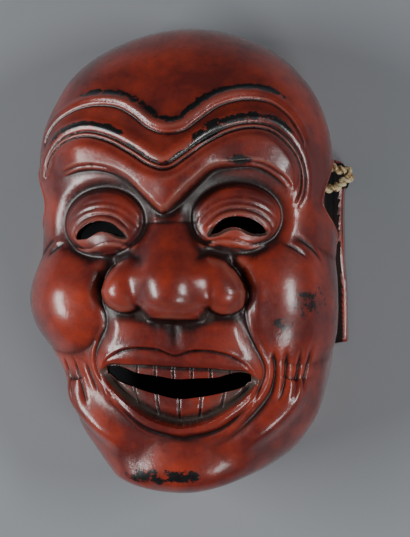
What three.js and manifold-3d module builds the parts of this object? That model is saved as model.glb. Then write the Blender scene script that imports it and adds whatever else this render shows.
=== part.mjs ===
// A carved folk mask of a bald, laughing face, in one piece of lacquered wood, lying on its back rim.
// Millimetres. +Z comes out of the face, +Y points to the crown, +X to the wearer's own left.
import * as THREE from 'three';
import { mergeVertices } from 'three/addons/utils/BufferGeometryUtils.js';
import Module from 'manifold-3d';

// Driving dimensions of the shell
const CROWN_AT = 126.5;
const CHIN_AT = 122.5;
const WALL_THICKNESS = 8;
const SIDE_LEVEL = 38; // height of the widest outline above the back rim, at the sides
// The chin is widest this much higher and the crown this much lower, from one place to another
const CHIN_RISE = { height: 20, along: [-85, -120], across: [60, 20] };
const CROWN_FALL = { height: 10, along: [70, 120] };
const RIM_MIDDLE = 9; // the back rim's own middle along Y
const RIM_HALF_HEIGHT = 117.5;
const WALL_SHARE = 0.77; // share of the surface, middle to rim, that is the front
const DOME_POWER = 0.4; // 0.5 is a round dome, less is fuller
const WALL_POWER = 1.4; // how late the side wall turns in towards the rim
const CARVED_FROM = 6; // the face's carving fades in above the rim, between these two heights
const CARVED_FULL = 24;
const INSIDE_SHARE = 0.55; // how much of the big forms is hollowed out behind

// Half widths of the front, as [Y, half width of the full oval there]
const FACE_WIDTH = [
  [-123, 92], [-120, 96], [-115, 96.5], [-110, 94], [-100, 91.5], [-85, 87.9], [-68, 82.3], [-57, 80.5],
  [-45, 81], [-36, 80.4], [-20, 78.4], [-7, 78], [0, 79.2], [6.5, 79.5], [28, 81.1], [49, 86.5],
  [71, 93.2], [87, 97.5], [98, 101.3], [109, 104.3], [115, 105], [125, 103],
];
// Middle of the front, as [Y, X]: the jaw is carved a little to one side
const FACE_MIDDLE = [
  [-123, -0.5], [-115, -0.5], [-110, 2], [-100, 4.9], [-90, 5.4], [-79, 6.2], [-68, 5.9], [-57, 4.9],
  [-45, 2.6], [-31, -0.7], [-20, -1.5], [-7, 0], [0, 2], [6.5, 2.2], [28, 1.9], [49, 0.2], [71, 0.1],
  [87, 0.3], [103, -0.5], [125, 1],
];
// Height of the dome's ridge above the rim, as [Y, Z]
const FACE_DEPTH = [
  [-125, 86], [-100, 87], [-70, 88], [-30, 87], [0, 86], [30, 87], [70, 90], [100, 90], [125, 88],
];
// Half widths of the back rim, as [Y, half width of the full oval there]
const RIM_WIDTH = [
  [-107, 122], [-99, 120], [-86, 106], [-73, 97], [-60, 91], [-47, 86], [-20, 78],
  [20, 74], [61, 81], [87, 88], [113, 92], [125, 93],
];

// Lines of brow, smile folds, jaw and creases, drawn on the mask itself, because its sides differ
const FOREHEAD_RIDGE = [
  [-74, 57.1], [-71.9, 67.2], [-65.9, 75.1], [-55.4, 80.9], [-44.2, 83.3], [-31, 82.3], [-21.2, 77.5],
  [-11.6, 70.3], [-2.3, 67], [6.6, 68.6], [14.3, 74.6], [22.8, 81.1], [32.3, 84.7], [41.8, 85.5],
  [51.4, 83.3], [60.6, 75.6], [66.5, 64.6], [68, 56],
];
const BROW_RIDGE = [
  [-72.3, 42.7], [-72, 48.5], [-68.2, 57.2], [-59.8, 64.2], [-47.3, 67.2], [-34.2, 64.5], [-21.4, 58.1],
  [-10, 51.2], [-0.9, 49], [8, 54.4], [19.7, 63.3], [32.1, 69.3], [43.6, 70.8], [53.1, 68],
  [61.6, 59.7], [66.3, 49.4], [66.8, 37.7], [63.2, 26.3],
];
const BROW_EDGE = [
  [-63.9, 42.3], [-55.6, 47.1], [-44.4, 49.1], [-33.6, 47.7], [-23.1, 42.8], [-13.8, 33.8],
  [-6.6, 26.8], [-2.2, 25.4], [3.4, 29], [13.3, 39.3], [23, 47.4], [34.6, 49.6], [44.1, 49.7],
  [51.7, 46.2], [59.2, 39], [63, 27.2],
];
const SMILE_LEFT = [
  [28.3, 0], [33.3, -2.6], [36.9, -7.8], [38.6, -14.5], [38.3, -21.3], [38.4, -27.5], [39.9, -35.2],
  [42.8, -43.1], [46.1, -49.8], [47.9, -56.1], [46.8, -62.4], [42.6, -69.7], [35.8, -77.6],
  [27.8, -85], [18.2, -89.8], [5.5, -92.1],
];
const SMILE_RIGHT = [
  [-26.6, 0], [-32.2, -2.1], [-36.1, -6.8], [-37.6, -13.1], [-37, -19.9], [-35.3, -26.1],
  [-34.6, -33.5], [-37.5, -39.8], [-40.6, -46.2], [-41.6, -52.5], [-40.1, -58.3], [-35.8, -65.1],
  [-29.4, -73.5], [-22.1, -81.9], [-12.6, -88.6], [5.5, -92.1],
];
const JAW_ROLLS = [
  [[66, -60], [64.8, -64.6], [59.8, -73.4], [52.7, -81.2], [42.4, -89.6], [32, -96.4], [20.6, -101.2]],
  [[-59, -60], [-57.8, -64.6], [-52.8, -73.4], [-45.7, -81.2], [-35.4, -89.6], [-25, -96.4],
    [-13.6, -101.2]],
];
const TEMPLE_CREASES = [
  [[61.5, 14], [67, 10.8], [70.5, 7.5], [73.2, 3], [74.8, -2]],
  [[-64, 13.5], [-69, 10], [-73, 6], [-76, 0]],
];

// Eyes, nose and mouth are drawn on the face's own slightly bent middle line, and mirrored across it:
// at the brow it lies to one side and at the mouth to the other, and the two tilt against each other
const BEND = { level: -20, length: 25, middle: 0.5, sway: 2.3, tilt: 0.0085, twist: 0.0435 };
const EYE_OPENING = [
  [22.2, 13.6], [25.5, 18.2], [29.8, 21.4], [36, 22.6], [42.5, 21.6], [46.7, 19.4], [49.5, 16.9],
  [50.3, 13.8], [45.4, 13.2], [41.6, 14.3], [37.9, 16.3], [34, 16.9], [30.3, 16.1], [26.5, 14.2],
];
const LOWER_LID_FOLD = [[15, 13], [20, 9.5], [27, 11.5], [34, 11.2], [42, 8.5], [50, 8.8], [56, 12]];

// Height and half width of the nose over its length, as [Y, value]
const NOSE_HEIGHT = [
  [-32.5, 0], [-30.5, 2.5], [-28, 9], [-24.5, 15], [-20, 18.6], [-14, 19.8], [-7, 18.4], [0, 14.6],
  [8, 9.6], [16, 5.2], [24, 2], [31, 0],
];
const NOSE_WIDTH = [
  [-32, 14], [-28, 16.5], [-22, 19.5], [-14, 20.8], [-8, 21], [0, 20], [10, 17], [20, 13.5], [30, 11],
];

// Lines across the mouth, from the middle out
const LIP_TOP = [
  [0, -47.6], [8, -45], [15, -44.3], [21.5, -44.7], [29, -46.7], [36, -51], [41, -56.3], [46, -60],
];
const LIP_EDGE = [[0, -54.3], [17, -54.2], [27, -54.7], [36, -55], [41, -57.8], [46, -60]];
const OPEN_TOP = [
  [0, -60.9], [10, -59.9], [21, -58.9], [27, -56.9], [33, -55.6], [38, -56.5], [46, -60],
];
const OPEN_FOOT = [
  [0, -71.6], [11, -70], [19, -68.2], [26, -66.2], [33.5, -63.6], [37.5, -60.6], [46, -60],
];
const TEETH_FOOT = [
  [0, -85], [9, -83.5], [17, -80.5], [25, -75.5], [31.5, -71], [37.5, -65.5], [41, -61.5], [46, -60],
];
const MOUTH_CORNER = 38.4; // the opening ends here
const LIPS_FULL = 37; // and the lips fade out between these two places
const LIPS_END = 42.5;

// Soft bosses of the face: middle, half sizes, height, and how full the boss is
const CHEEK = { at: [64, -21], size: [27.5, 31], height: 7.4, power: 1.35 };
const CHEEK_SWELL = { at: [62, -20], size: [24, 27], height: 1.8 };
const CHEEK_LEVELS = [12, 42]; // the cheeks fade out down the side wall between these heights
const CHIN_BOSS = { at: [0, -108], size: [24, 15], height: 2.5, power: 1.2 };
const BROW_BOSS = { at: [0, 52], size: [27, 30], height: 7, power: 1.2 };
const EYEBALL = { at: [36, 22], size: [22.4, 17.5], height: 6, power: 0.75 };
const SOCKET = { depth: 2.3, from: -8, to: -0.5 };
const BROW_SWELL = { height: 4.2, belowBrow: [1, -9], aboveEdge: [-1.5, 4] };
const BROW_REACH = 26; // how far brow and brow edge are felt
const NOSE_ASIDE = 1.2; // the nose stands this far to one side
const NOSE_FULLNESS = { tip: 0.75, bridge: 1.35, from: -4, to: 12 };
const NOSE_WING = {
  at: [25.6, -15], width: 13.2, above: 19, below: 12.5, height: 11.6, power: 0.7, lean: 0.3,
};
const WING_JOINT = 2.3; // the smaller, the softer the joint of two forms
const SKIRT_JOINT = 3;
const NOSE_SKIRT = { height: 6, width: 26, top: [24, 4], foot: [-30, -20] };
const MUZZLE = { height: 3, reach: 48, from: 0.5, to: -8, top: [-24, -34], foot: [-96, -90] };
const MUZZLE_BOSS = { at: [22, -38], size: [14, 12], height: 1, power: 1.2 };
const JAW_ROLL = { height: 4.2, width: 6, reach: 16 };
const SMILE_REACH = 18;
const CREASE_REACH = 6;
const PHILTRUM = { top: [-27, -34], foot: [-47, -41] };
// The upper lid's lip is felt this far round the opening, above a level that rises towards the nose
const UPPER_LID = { reach: 16, above: 15, soft: 6, lean: 60, inRing: [1, 2.5] };

// Cross-sections of the carved lines, as humps [height, distance beside the line, width]
const FOREHEAD_PROFILE = [[2.2, 3.1, 2.8], [-0.9, -1.2, 1.2]];
const BROW_PROFILE = [[1.9, 4.6, 3.2], [0.8, 0, 1], [-0.9, -1.4, 1]];
const SMILE_PROFILE = [[-1.2, 0.6, 2.6], [1.2, 5.2, 3.6]];
const SMILE_GROOVE = [[-2.6, 1, 3.6]]; // beside the nose
const CREASE_PROFILE = [[-1.3, 0, 1.1], [0.5, 2.3, 1.1], [0.5, -2.3, 1.1]];
const LID_RING_PROFILE = [[0.8, 0, 1.1], [-0.8, -1.8, 1.4]];
const LID_EDGE_PROFILE = [[0.9, 1.5, 1.1]];
const LOWER_LID_PROFILE = [[-0.8, 0, 0.9], [0.7, -2, 1.3]];
const PHILTRUM_PROFILE = [[-1.1, 0, 3.2], [0.4, 6, 2.5], [0.4, -6, 2.5]];
const LIP_SKIN_PROFILE = [[0.6, 0.7, 0.9]];
const LOWER_LIP_PROFILE = [[3.2, -3, 2.6], [0.4, -0.6, 0.6]];

// Shares along each line between which it fades in and out
const FOREHEAD_FADE = [0, 0.2, 0.8, 1];
const BROW_FADE = [0, 0.15, 0.8, 1];
const BROW_SWELL_FADE = [0, 0.12, 0.88, 1];
const SMILE_FADE = [0, 0.06, 0.95, 1];
const GROOVE_FADE = [0, 0.05, 0.2, 0.4];
const JAW_FADE = [0, 0.3, 0.6, 1];
const CREASE_FADE = [0, 0.2, 0.7, 1];
const LOWER_LID_FADE = [0, 0.15, 0.85, 1];

// Lips and teeth, each a step across one of the mouth's lines
const LIP_STEP = 2;
const TEETH_STEP = 1.8;
const LIP_ROLL = 1.9;
const GUM_STEP = 6.5;
const TEETH_BULGE = 6.4;
const STEP_FROM = 0.6;
const STEP_TO = -0.9;
const LOWER_TOOTH_GAPS = [0, 10.5, 20.5, 28.5];
const TOOTH_GAP = { depth: 1.2, width: 0.9, from: 0.3, to: 1.2 };
const TEETH_FAN = 0.012;
const MOUTH_SPLIT = 1.5; // the upper and lower forms change over this far each side of the opening

// Ears on the side walls, as boxes [Y from, Y to, Z from, Z to, corner radius]: a long flange, and a
// hollow and a ditch cut into the wall before it
const EAR_FLANGE = [-44, 56, 3.5, 15, 3.5];
const EAR_HOLLOW = [9, 53, 16, 52, 14];
const EAR_DITCH = [-46, 16, 15.5, 20.5, 2];
// How far the flange stands out from the middle line, as [Y, X]
const EAR_REACH = [
  [-45, 84.4], [-15, 83.9], [5, 82.6], [39, 82.6], [43, 85.5], [46.5, 86.3], [50, 84], [56, 79.5],
];
const EAR_ROOT = -3; // the ears start this far inside the wall
const CUT_FLOOR = -4.5; // the hollow and the ditch are cut into the wall itself
const HOLLOW_INSET = 3; // they are this much narrower at their floor
const DITCH_INSET = 1;
const CUT_CLEAR = 20; // cutters run this far out of the wall
const EAR_CORNER_STEPS = 3;
const EAR_SIDE_STEP = 5; // longest straight piece of an ear's outline

// A slot through the wall at the top of each ear, and the heights between which the face is cut open
const CORD_SLOT = [36.6, 54.6, 32, 40, 3.4];
const OPENING_REACH = [12, 115];

// The cord loop and the stop knot behind the wall
const CORD_RADIUS = 2;
const CORD_SIDES = 8;
const CORD_STEPS = 24;
const LOOP_RADIUS = 3;
const LOOP_MIDDLE = [85.2, 46.4, 36];
const LEG_MIDDLE = 45.2;
// Each strand's way out, as [distance from the knot's face, distance beside the middle]
const LEG = [[0.3, 2.4], [2, 2.4], [5, 3.2], [9, 5.2], [13, 5.8], [17, 5.4], [20, 4.2]];
const KNOT_FACE = 62.8;
const KNOT_LENGTH = 8;
const KNOT_RADIUS = 6;
const KNOT_END_RADIUS = 4.6;
const KNOT_SIDES = 14;

// Grids and how closely the facets follow the surface
const OUTER_GRID = 256;
const INNER_GRID = 64;
const OUTER_TOLERANCE = 0.95;
const INNER_TOLERANCE = 1.2;
const LINE_STEPS = 6; // straight pieces between two knots of a carved line
const SKIRT = 6; // the inner surface runs this far below the rim, so that it cuts clean

const LACQUER = { color: 0x8e2a1c, roughness: 0.3, metalness: 0 };
const STRAW = { color: 0xcdb082, roughness: 0.8, metalness: 0 };
const STRAW_KNOT = { color: 0xc4a677, roughness: 0.85, metalness: 0 };

// Small shape functions
const clamp = (value) => Math.min(Math.max(value, 0), 1);

function ease(from, to, value) {
  const t = clamp((value - from) / (to - from));
  return t * t * (3 - 2 * t);
}

const hump = (distance, width) => Math.exp(-((distance / width) ** 2));

const profile = (off, humps) => humps
  .reduce((sum, [height, at, width]) => sum + height * hump(off - at, width), 0);

const fade = (share, [from, full, until, end]) => ease(from, full, share) * (1 - ease(until, end, share));

const band = (value, { top, foot }) => ease(...top, value) * ease(...foot, value);

function boss(x, y, { at, size, height, power }) {
  const q = ((x - at[0]) / size[0]) ** 2 + ((y - at[1]) / size[1]) ** 2;
  return height * clamp(1 - q) ** power;
}

// Two heights joined: the greater of them where one is much the greater, and more where they are alike
const joined = (a, b, power) => (a ** power + b ** power) ** (1 / power);

// A smooth curve through [place, value] knots, flat past both ends
function through(place, knots) {
  const last = knots.length - 1;
  const slope = (k) => {
    const before = knots[Math.max(k - 1, 0)];
    const after = knots[Math.min(k + 1, last)];
    return (after[1] - before[1]) / (after[0] - before[0]);
  };
  let i = 0;
  while (i < last - 1 && place > knots[i + 1][0]) i += 1;
  const width = knots[i + 1][0] - knots[i][0];
  const t = clamp((place - knots[i][0]) / width);
  const rise = t * t * (3 - 2 * t);
  const leave = t * (1 - t) ** 2 * width * slope(i);
  const arrive = t * t * (t - 1) * width * slope(i + 1);
  return knots[i][1] + (knots[i + 1][1] - knots[i][1]) * rise + leave + arrive;
}

// The plain shell
const halfHeight = (up) => (up < 0 ? CHIN_AT : CROWN_AT);

function widestLevel(x, y) {
  const chin = ease(...CHIN_RISE.along, y) * ease(...CHIN_RISE.across, Math.abs(x));
  return SIDE_LEVEL + CHIN_RISE.height * chin - CROWN_FALL.height * ease(...CROWN_FALL.along, y);
}

function domeHeight(x, y) {
  const across = (x - through(y, FACE_MIDDLE)) / through(y, FACE_WIDTH);
  const inside = clamp(1 - across ** 2 - (y / halfHeight(y)) ** 2);
  const low = widestLevel(x, y);
  return low + (through(y, FACE_DEPTH) - low) * inside ** DOME_POWER;
}

// Point of the shell at (a, b), each from -1 to 1: the square is drawn into a disc, whose middle
// share is the domed front and whose outer ring is the side wall, down to the rim
function shellPoint(a, b, foot) {
  const u = a * Math.sqrt(1 - (b * b) / 2);
  const v = b * Math.sqrt(1 - (a * a) / 2);
  const reach = Math.hypot(u, v);
  const across = reach > 0 ? u / reach : 1;
  const up = reach > 0 ? v / reach : 0;
  const radius = Math.sin((clamp(reach / WALL_SHARE) * Math.PI) / 2);
  const y = halfHeight(up) * radius * up;
  const x = through(y, FACE_MIDDLE) + through(y, FACE_WIDTH) * radius * across;
  if (reach <= WALL_SHARE) return [x, y, domeHeight(x, y)];
  const down = clamp((reach - WALL_SHARE) / (1 - WALL_SHARE));
  const rimY = RIM_MIDDLE + RIM_HALF_HEIGHT * up;
  const rimX = through(rimY, RIM_WIDTH) * across;
  const inward = down ** WALL_POWER;
  const low = widestLevel(x, y);
  return [x + (rimX - x) * inward, y + (rimY - y) * inward, low + (foot - low) * down];
}

function shellNormal(a, b, foot) {
  const step = 1 / OUTER_GRID;
  const along = (da, db) => {
    const ahead = shellPoint(Math.min(a + da, 1), Math.min(b + db, 1), foot);
    const behind = shellPoint(Math.max(a - da, -1), Math.max(b - db, -1), foot);
    return new THREE.Vector3(...ahead).sub(new THREE.Vector3(...behind));
  };
  return along(step, 0).cross(along(0, step)).normalize().toArray();
}

// Lines drawn on the dome
function smoothLine(knots) {
  const reflect = (p, q) => [2 * p[0] - q[0], 2 * p[1] - q[1]];
  const before = reflect(knots[0], knots[1]);
  const after = reflect(knots[knots.length - 1], knots[knots.length - 2]);
  const all = [before, ...knots, after];
  const points = [];
  for (let k = 1; k < all.length - 2; k += 1) {
    for (let i = 0; i < LINE_STEPS; i += 1) {
      const t = i / LINE_STEPS;
      points.push([0, 1].map((axis) => {
        const [p0, p1, p2, p3] = all.slice(k - 1, k + 3).map((knot) => knot[axis]);
        const leave = (p2 - p0) / 2;
        const arrive = (p3 - p1) / 2;
        const cube = 2 * p1 - 2 * p2 + leave + arrive;
        const square = -3 * p1 + 3 * p2 - 2 * leave - arrive;
        return ((cube * t + square) * t + leave) * t + p1;
      }));
    }
  }
  points.push(knots[knots.length - 1]);
  return points.map(([x, y]) => [x, y, domeHeight(x, y)]);
}

// Distance of a place from a line, positive to the left of its run, and the share along it
function beside(place, line, reach) {
  let nearest = reach * reach;
  let found = null;
  for (let k = 0; k < line.length - 1; k += 1) {
    const start = line[k];
    const run = [line[k + 1][0] - start[0], line[k + 1][1] - start[1], line[k + 1][2] - start[2]];
    const rel = [place[0] - start[0], place[1] - start[1], place[2] - start[2]];
    const length = run[0] ** 2 + run[1] ** 2 + run[2] ** 2;
    const share = clamp((rel[0] * run[0] + rel[1] * run[1] + rel[2] * run[2]) / length);
    const gap = (rel[0] - share * run[0]) ** 2 + (rel[1] - share * run[1]) ** 2
      + (rel[2] - share * run[2]) ** 2;
    if (gap < nearest) {
      nearest = gap;
      const left = run[0] * rel[1] - run[1] * rel[0] >= 0 ? 1 : -1;
      found = { off: left * Math.sqrt(gap), share: (k + share) / (line.length - 1) };
    }
  }
  return found;
}

// True inside a closed line: an even-odd count of crossings
function within(x, y, line) {
  let inside = false;
  for (let k = 0; k < line.length - 1; k += 1) {
    const [x0, y0] = line[k];
    const [x1, y1] = line[k + 1];
    const crossed = y0 > y !== y1 > y && x < x0 + ((y - y0) * (x1 - x0)) / (y1 - y0);
    inside = crossed ? !inside : inside;
  }
  return inside;
}

function outsideOf(place, line, reach) {
  const near = beside(place, line, reach);
  const gap = near ? Math.abs(near.off) : reach;
  return within(place[0], place[1], line) ? -gap : gap;
}

const foreheadLine = smoothLine(FOREHEAD_RIDGE);
const browLine = smoothLine(BROW_RIDGE);
const browEdgeLine = smoothLine(BROW_EDGE);
const eyeLine = smoothLine([...EYE_OPENING, EYE_OPENING[0]]);
const lowerLidLine = smoothLine(LOWER_LID_FOLD);
const leftSmileLine = smoothLine(SMILE_LEFT);
const rightSmileLine = smoothLine(SMILE_RIGHT);
const jawLines = JAW_ROLLS.map(smoothLine);
const creaseLines = TEMPLE_CREASES.map(smoothLine);

// The nearer smile fold of the two, its distance positive on the cheek's side
function nearestSmile(place) {
  const left = beside(place, leftSmileLine, SMILE_REACH);
  const right = beside(place, rightSmileLine, SMILE_REACH);
  if (left && (!right || Math.abs(left.off) < Math.abs(right.off))) return left;
  return right ? { off: -right.off, share: right.share } : null;
}

// Distance inside the ring round an eye
function insideRing(x, y) {
  const ringX = (x - EYEBALL.at[0]) / EYEBALL.size[0];
  const ringY = (y - EYEBALL.at[1]) / EYEBALL.size[1];
  const round = Math.max(Math.hypot(ringX, ringY), 1e-6);
  return ((1 - round) * round) / Math.hypot(ringX / EYEBALL.size[0], ringY / EYEBALL.size[1]);
}

// One broad bulb that grows out of its bridge, with a wing melted into each side, and its skirt
function noseHeight(across, y) {
  const side = across - NOSE_ASIDE;
  const { tip, bridge, from, to } = NOSE_FULLNESS;
  const fullness = tip + (bridge - tip) * ease(from, to, y);
  const bulb = through(y, NOSE_HEIGHT) * clamp(1 - (side / through(y, NOSE_WIDTH)) ** 2) ** fullness;
  const above = y - NOSE_WING.at[1];
  const wingX = (Math.abs(side) - NOSE_WING.at[0] + NOSE_WING.lean * Math.max(above, 0)) / NOSE_WING.width;
  const wingY = above / (above > 0 ? NOSE_WING.above : NOSE_WING.below);
  const wing = NOSE_WING.height * clamp(1 - wingX ** 2 - wingY ** 2) ** NOSE_WING.power;
  const skirt = NOSE_SKIRT.height * hump(across, NOSE_SKIRT.width) * band(y, NOSE_SKIRT);
  return joined(joined(bulb, wing, WING_JOINT), skirt, SKIRT_JOINT);
}

// Big forms: cheeks, brow mass, sockets, eyeballs, nose, muzzle and jaw
function bigForms(place, [across, y], brow, edge, smile) {
  const x = Math.abs(across);
  const swellX = (x - CHEEK_SWELL.at[0]) / CHEEK_SWELL.size[0];
  const swellY = (y - CHEEK_SWELL.at[1]) / CHEEK_SWELL.size[1];
  const cheek = CHEEK_SWELL.height * hump(Math.hypot(swellX, swellY), 1) + boss(x, y, CHEEK);
  let height = cheek * ease(...CHEEK_LEVELS, place[2]) + boss(x, y, CHIN_BOSS) + boss(x, y, EYEBALL);
  height -= SOCKET.depth * ease(SOCKET.from, SOCKET.to, insideRing(x, y));
  if (brow && edge) {
    const shares = fade(edge.share, BROW_SWELL_FADE) * fade(brow.share, BROW_SWELL_FADE);
    height += BROW_SWELL.height * shares
      * ease(...BROW_SWELL.belowBrow, brow.off) * ease(...BROW_SWELL.aboveEdge, edge.off);
  }
  const overEdge = edge ? ease(...BROW_SWELL.aboveEdge, edge.off) : Number(y > BROW_EDGE[0][1]);
  height += boss(across, y, BROW_BOSS) * overEdge + noseHeight(across, y);
  const muzzle = smile ? ease(MUZZLE.from, MUZZLE.to, smile.off) : 1;
  height += MUZZLE.height * muzzle * Number(x < MUZZLE.reach) * band(y, MUZZLE) + boss(x, y, MUZZLE_BOSS);
  if (smile) height += profile(smile.off, SMILE_GROOVE) * fade(smile.share, GROOVE_FADE);
  for (const line of jawLines) {
    const near = beside(place, line, JAW_ROLL.reach);
    if (near) height += JAW_ROLL.height * hump(near.off, JAW_ROLL.width) * fade(near.share, JAW_FADE);
  }
  return height;
}

// Forehead and brow ridges: a roll above each line and a groove below it
function ridges(place, brow) {
  const forehead = beside(place, foreheadLine, SMILE_REACH);
  let height = 0;
  if (forehead) height += profile(forehead.off, FOREHEAD_PROFILE) * fade(forehead.share, FOREHEAD_FADE);
  if (brow) height += profile(brow.off, BROW_PROFILE) * fade(brow.share, BROW_FADE);
  return height;
}

// Ringed lids: a bead round the eyeball, a soft lip over the opening, and the lower lid
function lids(front) {
  const [x, y] = front;
  const inside = insideRing(x, y);
  const opening = outsideOf(front, eyeLine, UPPER_LID.reach);
  const over = (y - UPPER_LID.above) / UPPER_LID.soft + (x - EYEBALL.at[0]) / UPPER_LID.lean;
  const upper = ease(-0.1, 0.5, over) * ease(...UPPER_LID.inRing, inside);
  const height = profile(inside, LID_RING_PROFILE) + profile(opening, LID_EDGE_PROFILE) * upper;
  const low = beside(front, lowerLidLine, CREASE_REACH);
  return height + (low ? profile(low.off, LOWER_LID_PROFILE) * fade(low.share, LOWER_LID_FADE) : 0);
}

// Folds from the nose wings round the mouth, the philtrum, and the creases of cheek and temple
function folds(place, [across, y], smile) {
  let height = profile(across, PHILTRUM_PROFILE) * band(y, PHILTRUM);
  if (smile) height += profile(smile.off, SMILE_PROFILE) * fade(smile.share, SMILE_FADE);
  for (const line of creaseLines) {
    const near = beside(place, line, CREASE_REACH);
    if (near) height += profile(near.off, CREASE_PROFILE) * fade(near.share, CREASE_FADE);
  }
  return height;
}

// Distance of a place above a mouth line, and the line's own height there
function aboveMouthLine(x, y, knots) {
  const all = [[-knots[1][0], knots[1][1]], ...knots];
  const level = through(x, all);
  const slope = through(x + 0.5, all) - through(x - 0.5, all);
  return { off: (y - level) / Math.hypot(1, slope), level };
}

// Lips and teeth
function mouth(x, y) {
  const top = aboveMouthLine(x, y, LIP_TOP);
  const edge = aboveMouthLine(x, y, LIP_EDGE);
  const open = aboveMouthLine(x, y, OPEN_TOP);
  const foot = aboveMouthLine(x, y, OPEN_FOOT);
  const teeth = aboveMouthLine(x, y, TEETH_FOOT);
  const lipRoom = Math.max((top.level - edge.level) ** 2, 1);
  const inLip = top.off < 0 && edge.off > 0;
  const lipRoll = inLip ? LIP_ROLL * clamp((-4 * top.off * edge.off) / lipRoom) : 0;
  let upper = profile(top.off, LIP_SKIN_PROFILE) - LIP_STEP * ease(STEP_FROM, STEP_TO, top.off);
  upper += lipRoll - TEETH_STEP * ease(STEP_FROM, STEP_TO, edge.off);
  let lower = profile(teeth.off, LOWER_LIP_PROFILE) - GUM_STEP * ease(STEP_TO, STEP_FROM, teeth.off);
  const tooth = clamp(teeth.off / Math.max(foot.level - teeth.level, 1));
  lower += TEETH_BULGE * tooth * (1 - tooth);
  const fan = x / (1 + TEETH_FAN * (y - TEETH_FOOT[0][1]));
  const gap = Math.min(...LOWER_TOOTH_GAPS.map((place) => Math.abs(fan - place)));
  lower -= TOOTH_GAP.depth * hump(gap, TOOTH_GAP.width) * ease(TOOTH_GAP.from, TOOTH_GAP.to, teeth.off);
  const share = ease(-MOUTH_SPLIT, MOUTH_SPLIT, y - (open.level + foot.level) / 2);
  return ease(LIPS_END, LIPS_FULL, x) * (lower * (1 - share) + upper * share);
}

// The face's own place for a point of the shell, and back again
function faceOwn(x, y) {
  const turn = Math.tanh((y - BEND.level) / BEND.length);
  return [x - (BEND.middle - BEND.sway * turn), y - (BEND.twist * turn - BEND.tilt) * x];
}

function fromFaceOwn([across, level]) {
  let [x, y] = [across, level];
  for (let round = 0; round < 6; round += 1) {
    const turn = Math.tanh((y - BEND.level) / BEND.length);
    x = across + BEND.middle - BEND.sway * turn;
    y = level + (BEND.twist * turn - BEND.tilt) * x;
  }
  return [x, y];
}

// Carving at a place of the shell: the big forms and the finer relief
function carving(place) {
  const own = faceOwn(place[0], place[1]);
  const x = Math.abs(own[0]);
  const brow = beside(place, browLine, BROW_REACH);
  const edge = beside(place, browEdgeLine, BROW_REACH);
  const smile = nearestSmile(place);
  const face = lids([x, own[1], place[2]]) + mouth(x, own[1]);
  const fine = face + ridges(place, brow) + folds(place, own, smile);
  return { big: bigForms(place, own, brow, edge, smile), fine };
}

function outerPoint(a, b) {
  const place = shellPoint(a, b, 0);
  const normal = shellNormal(a, b, 0);
  const { big, fine } = carving(place);
  const push = (big + fine) * ease(CARVED_FROM, CARVED_FULL, place[2]);
  const [x, y, z] = place.map((value, axis) => value + normal[axis] * push);
  return [x, y, Math.max(z, 0)];
}

// The inside follows the shell at the wall's thickness, and part of the big forms
function innerPoint(a, b) {
  const place = shellPoint(a, b, -SKIRT);
  const normal = shellNormal(a, b, -SKIRT);
  const push = INSIDE_SHARE * carving(place).big - WALL_THICKNESS;
  return place.map((value, axis) => value + normal[axis] * push);
}

// A grid of points, as many as facets need: each edge's middle is kept only where it strays from
// the edge, so the facets are small at the carving and large on plain wood
function facetedSheet(pointAt, size, tolerance) {
  const points = [];
  for (let i = 0; i <= size; i += 1) {
    for (let j = 0; j <= size; j += 1) {
      points.push(new THREE.Vector3(...pointAt((2 * i) / size - 1, (2 * j) / size - 1)));
    }
  }
  const at = (i, j) => i * (size + 1) + j;
  const stray = new Float64Array(points.length);
  const middle = new THREE.Vector3();
  const measure = (i, j, di, dj, below) => {
    middle.addVectors(points[at(i - di, j - dj)], points[at(i + di, j + dj)]).multiplyScalar(0.5);
    const worst = below.filter(([p, q]) => p >= 0 && q >= 0 && p <= size && q <= size)
      .map(([p, q]) => stray[at(p, q)]);
    stray[at(i, j)] = Math.max(points[at(i, j)].distanceTo(middle), ...worst);
  };
  for (let span = 2; span <= size; span *= 2) {
    const half = span / 2;
    const quarter = span / 4;
    const corners = (i, j) => (span === 2 ? [] : [[-1, -1], [-1, 1], [1, -1], [1, 1]]
      .map(([p, q]) => [i + p * quarter, j + q * quarter]));
    for (let i = half; i < size; i += span) {
      for (let j = 0; j <= size; j += span) {
        measure(i, j, half, 0, corners(i, j));
        measure(j, i, 0, half, corners(j, i));
      }
    }
    for (let i = half; i < size; i += span) {
      for (let j = half; j < size; j += span) {
        const rising = (Math.floor(i / span) + Math.floor(j / span)) % 2 === 0;
        const sides = [[i + half, j], [i - half, j], [i, j + half], [i, j - half]];
        measure(i, j, half, rising ? half : -half, sides);
      }
    }
  }
  const faces = [];
  const split = (p, q, r) => {
    const m = [(p[0] + q[0]) / 2, (p[1] + q[1]) / 2];
    const longest = Math.max(Math.abs(p[0] - q[0]), Math.abs(p[1] - q[1]));
    if (longest > 1 && stray[at(...m)] > tolerance) {
      split(r, p, m);
      split(q, r, m);
    } else {
      faces.push([at(...p), at(...q), at(...r)]);
    }
  };
  split([size, size], [0, 0], [size, 0]);
  split([0, 0], [size, size], [0, size]);
  return { points, faces };
}

function solidOf(wasm, positions, indices) {
  return new wasm.Manifold(new wasm.Mesh({
    numProp: 3,
    vertProperties: Float32Array.from(positions),
    triVerts: Uint32Array.from(indices),
  }));
}

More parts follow.
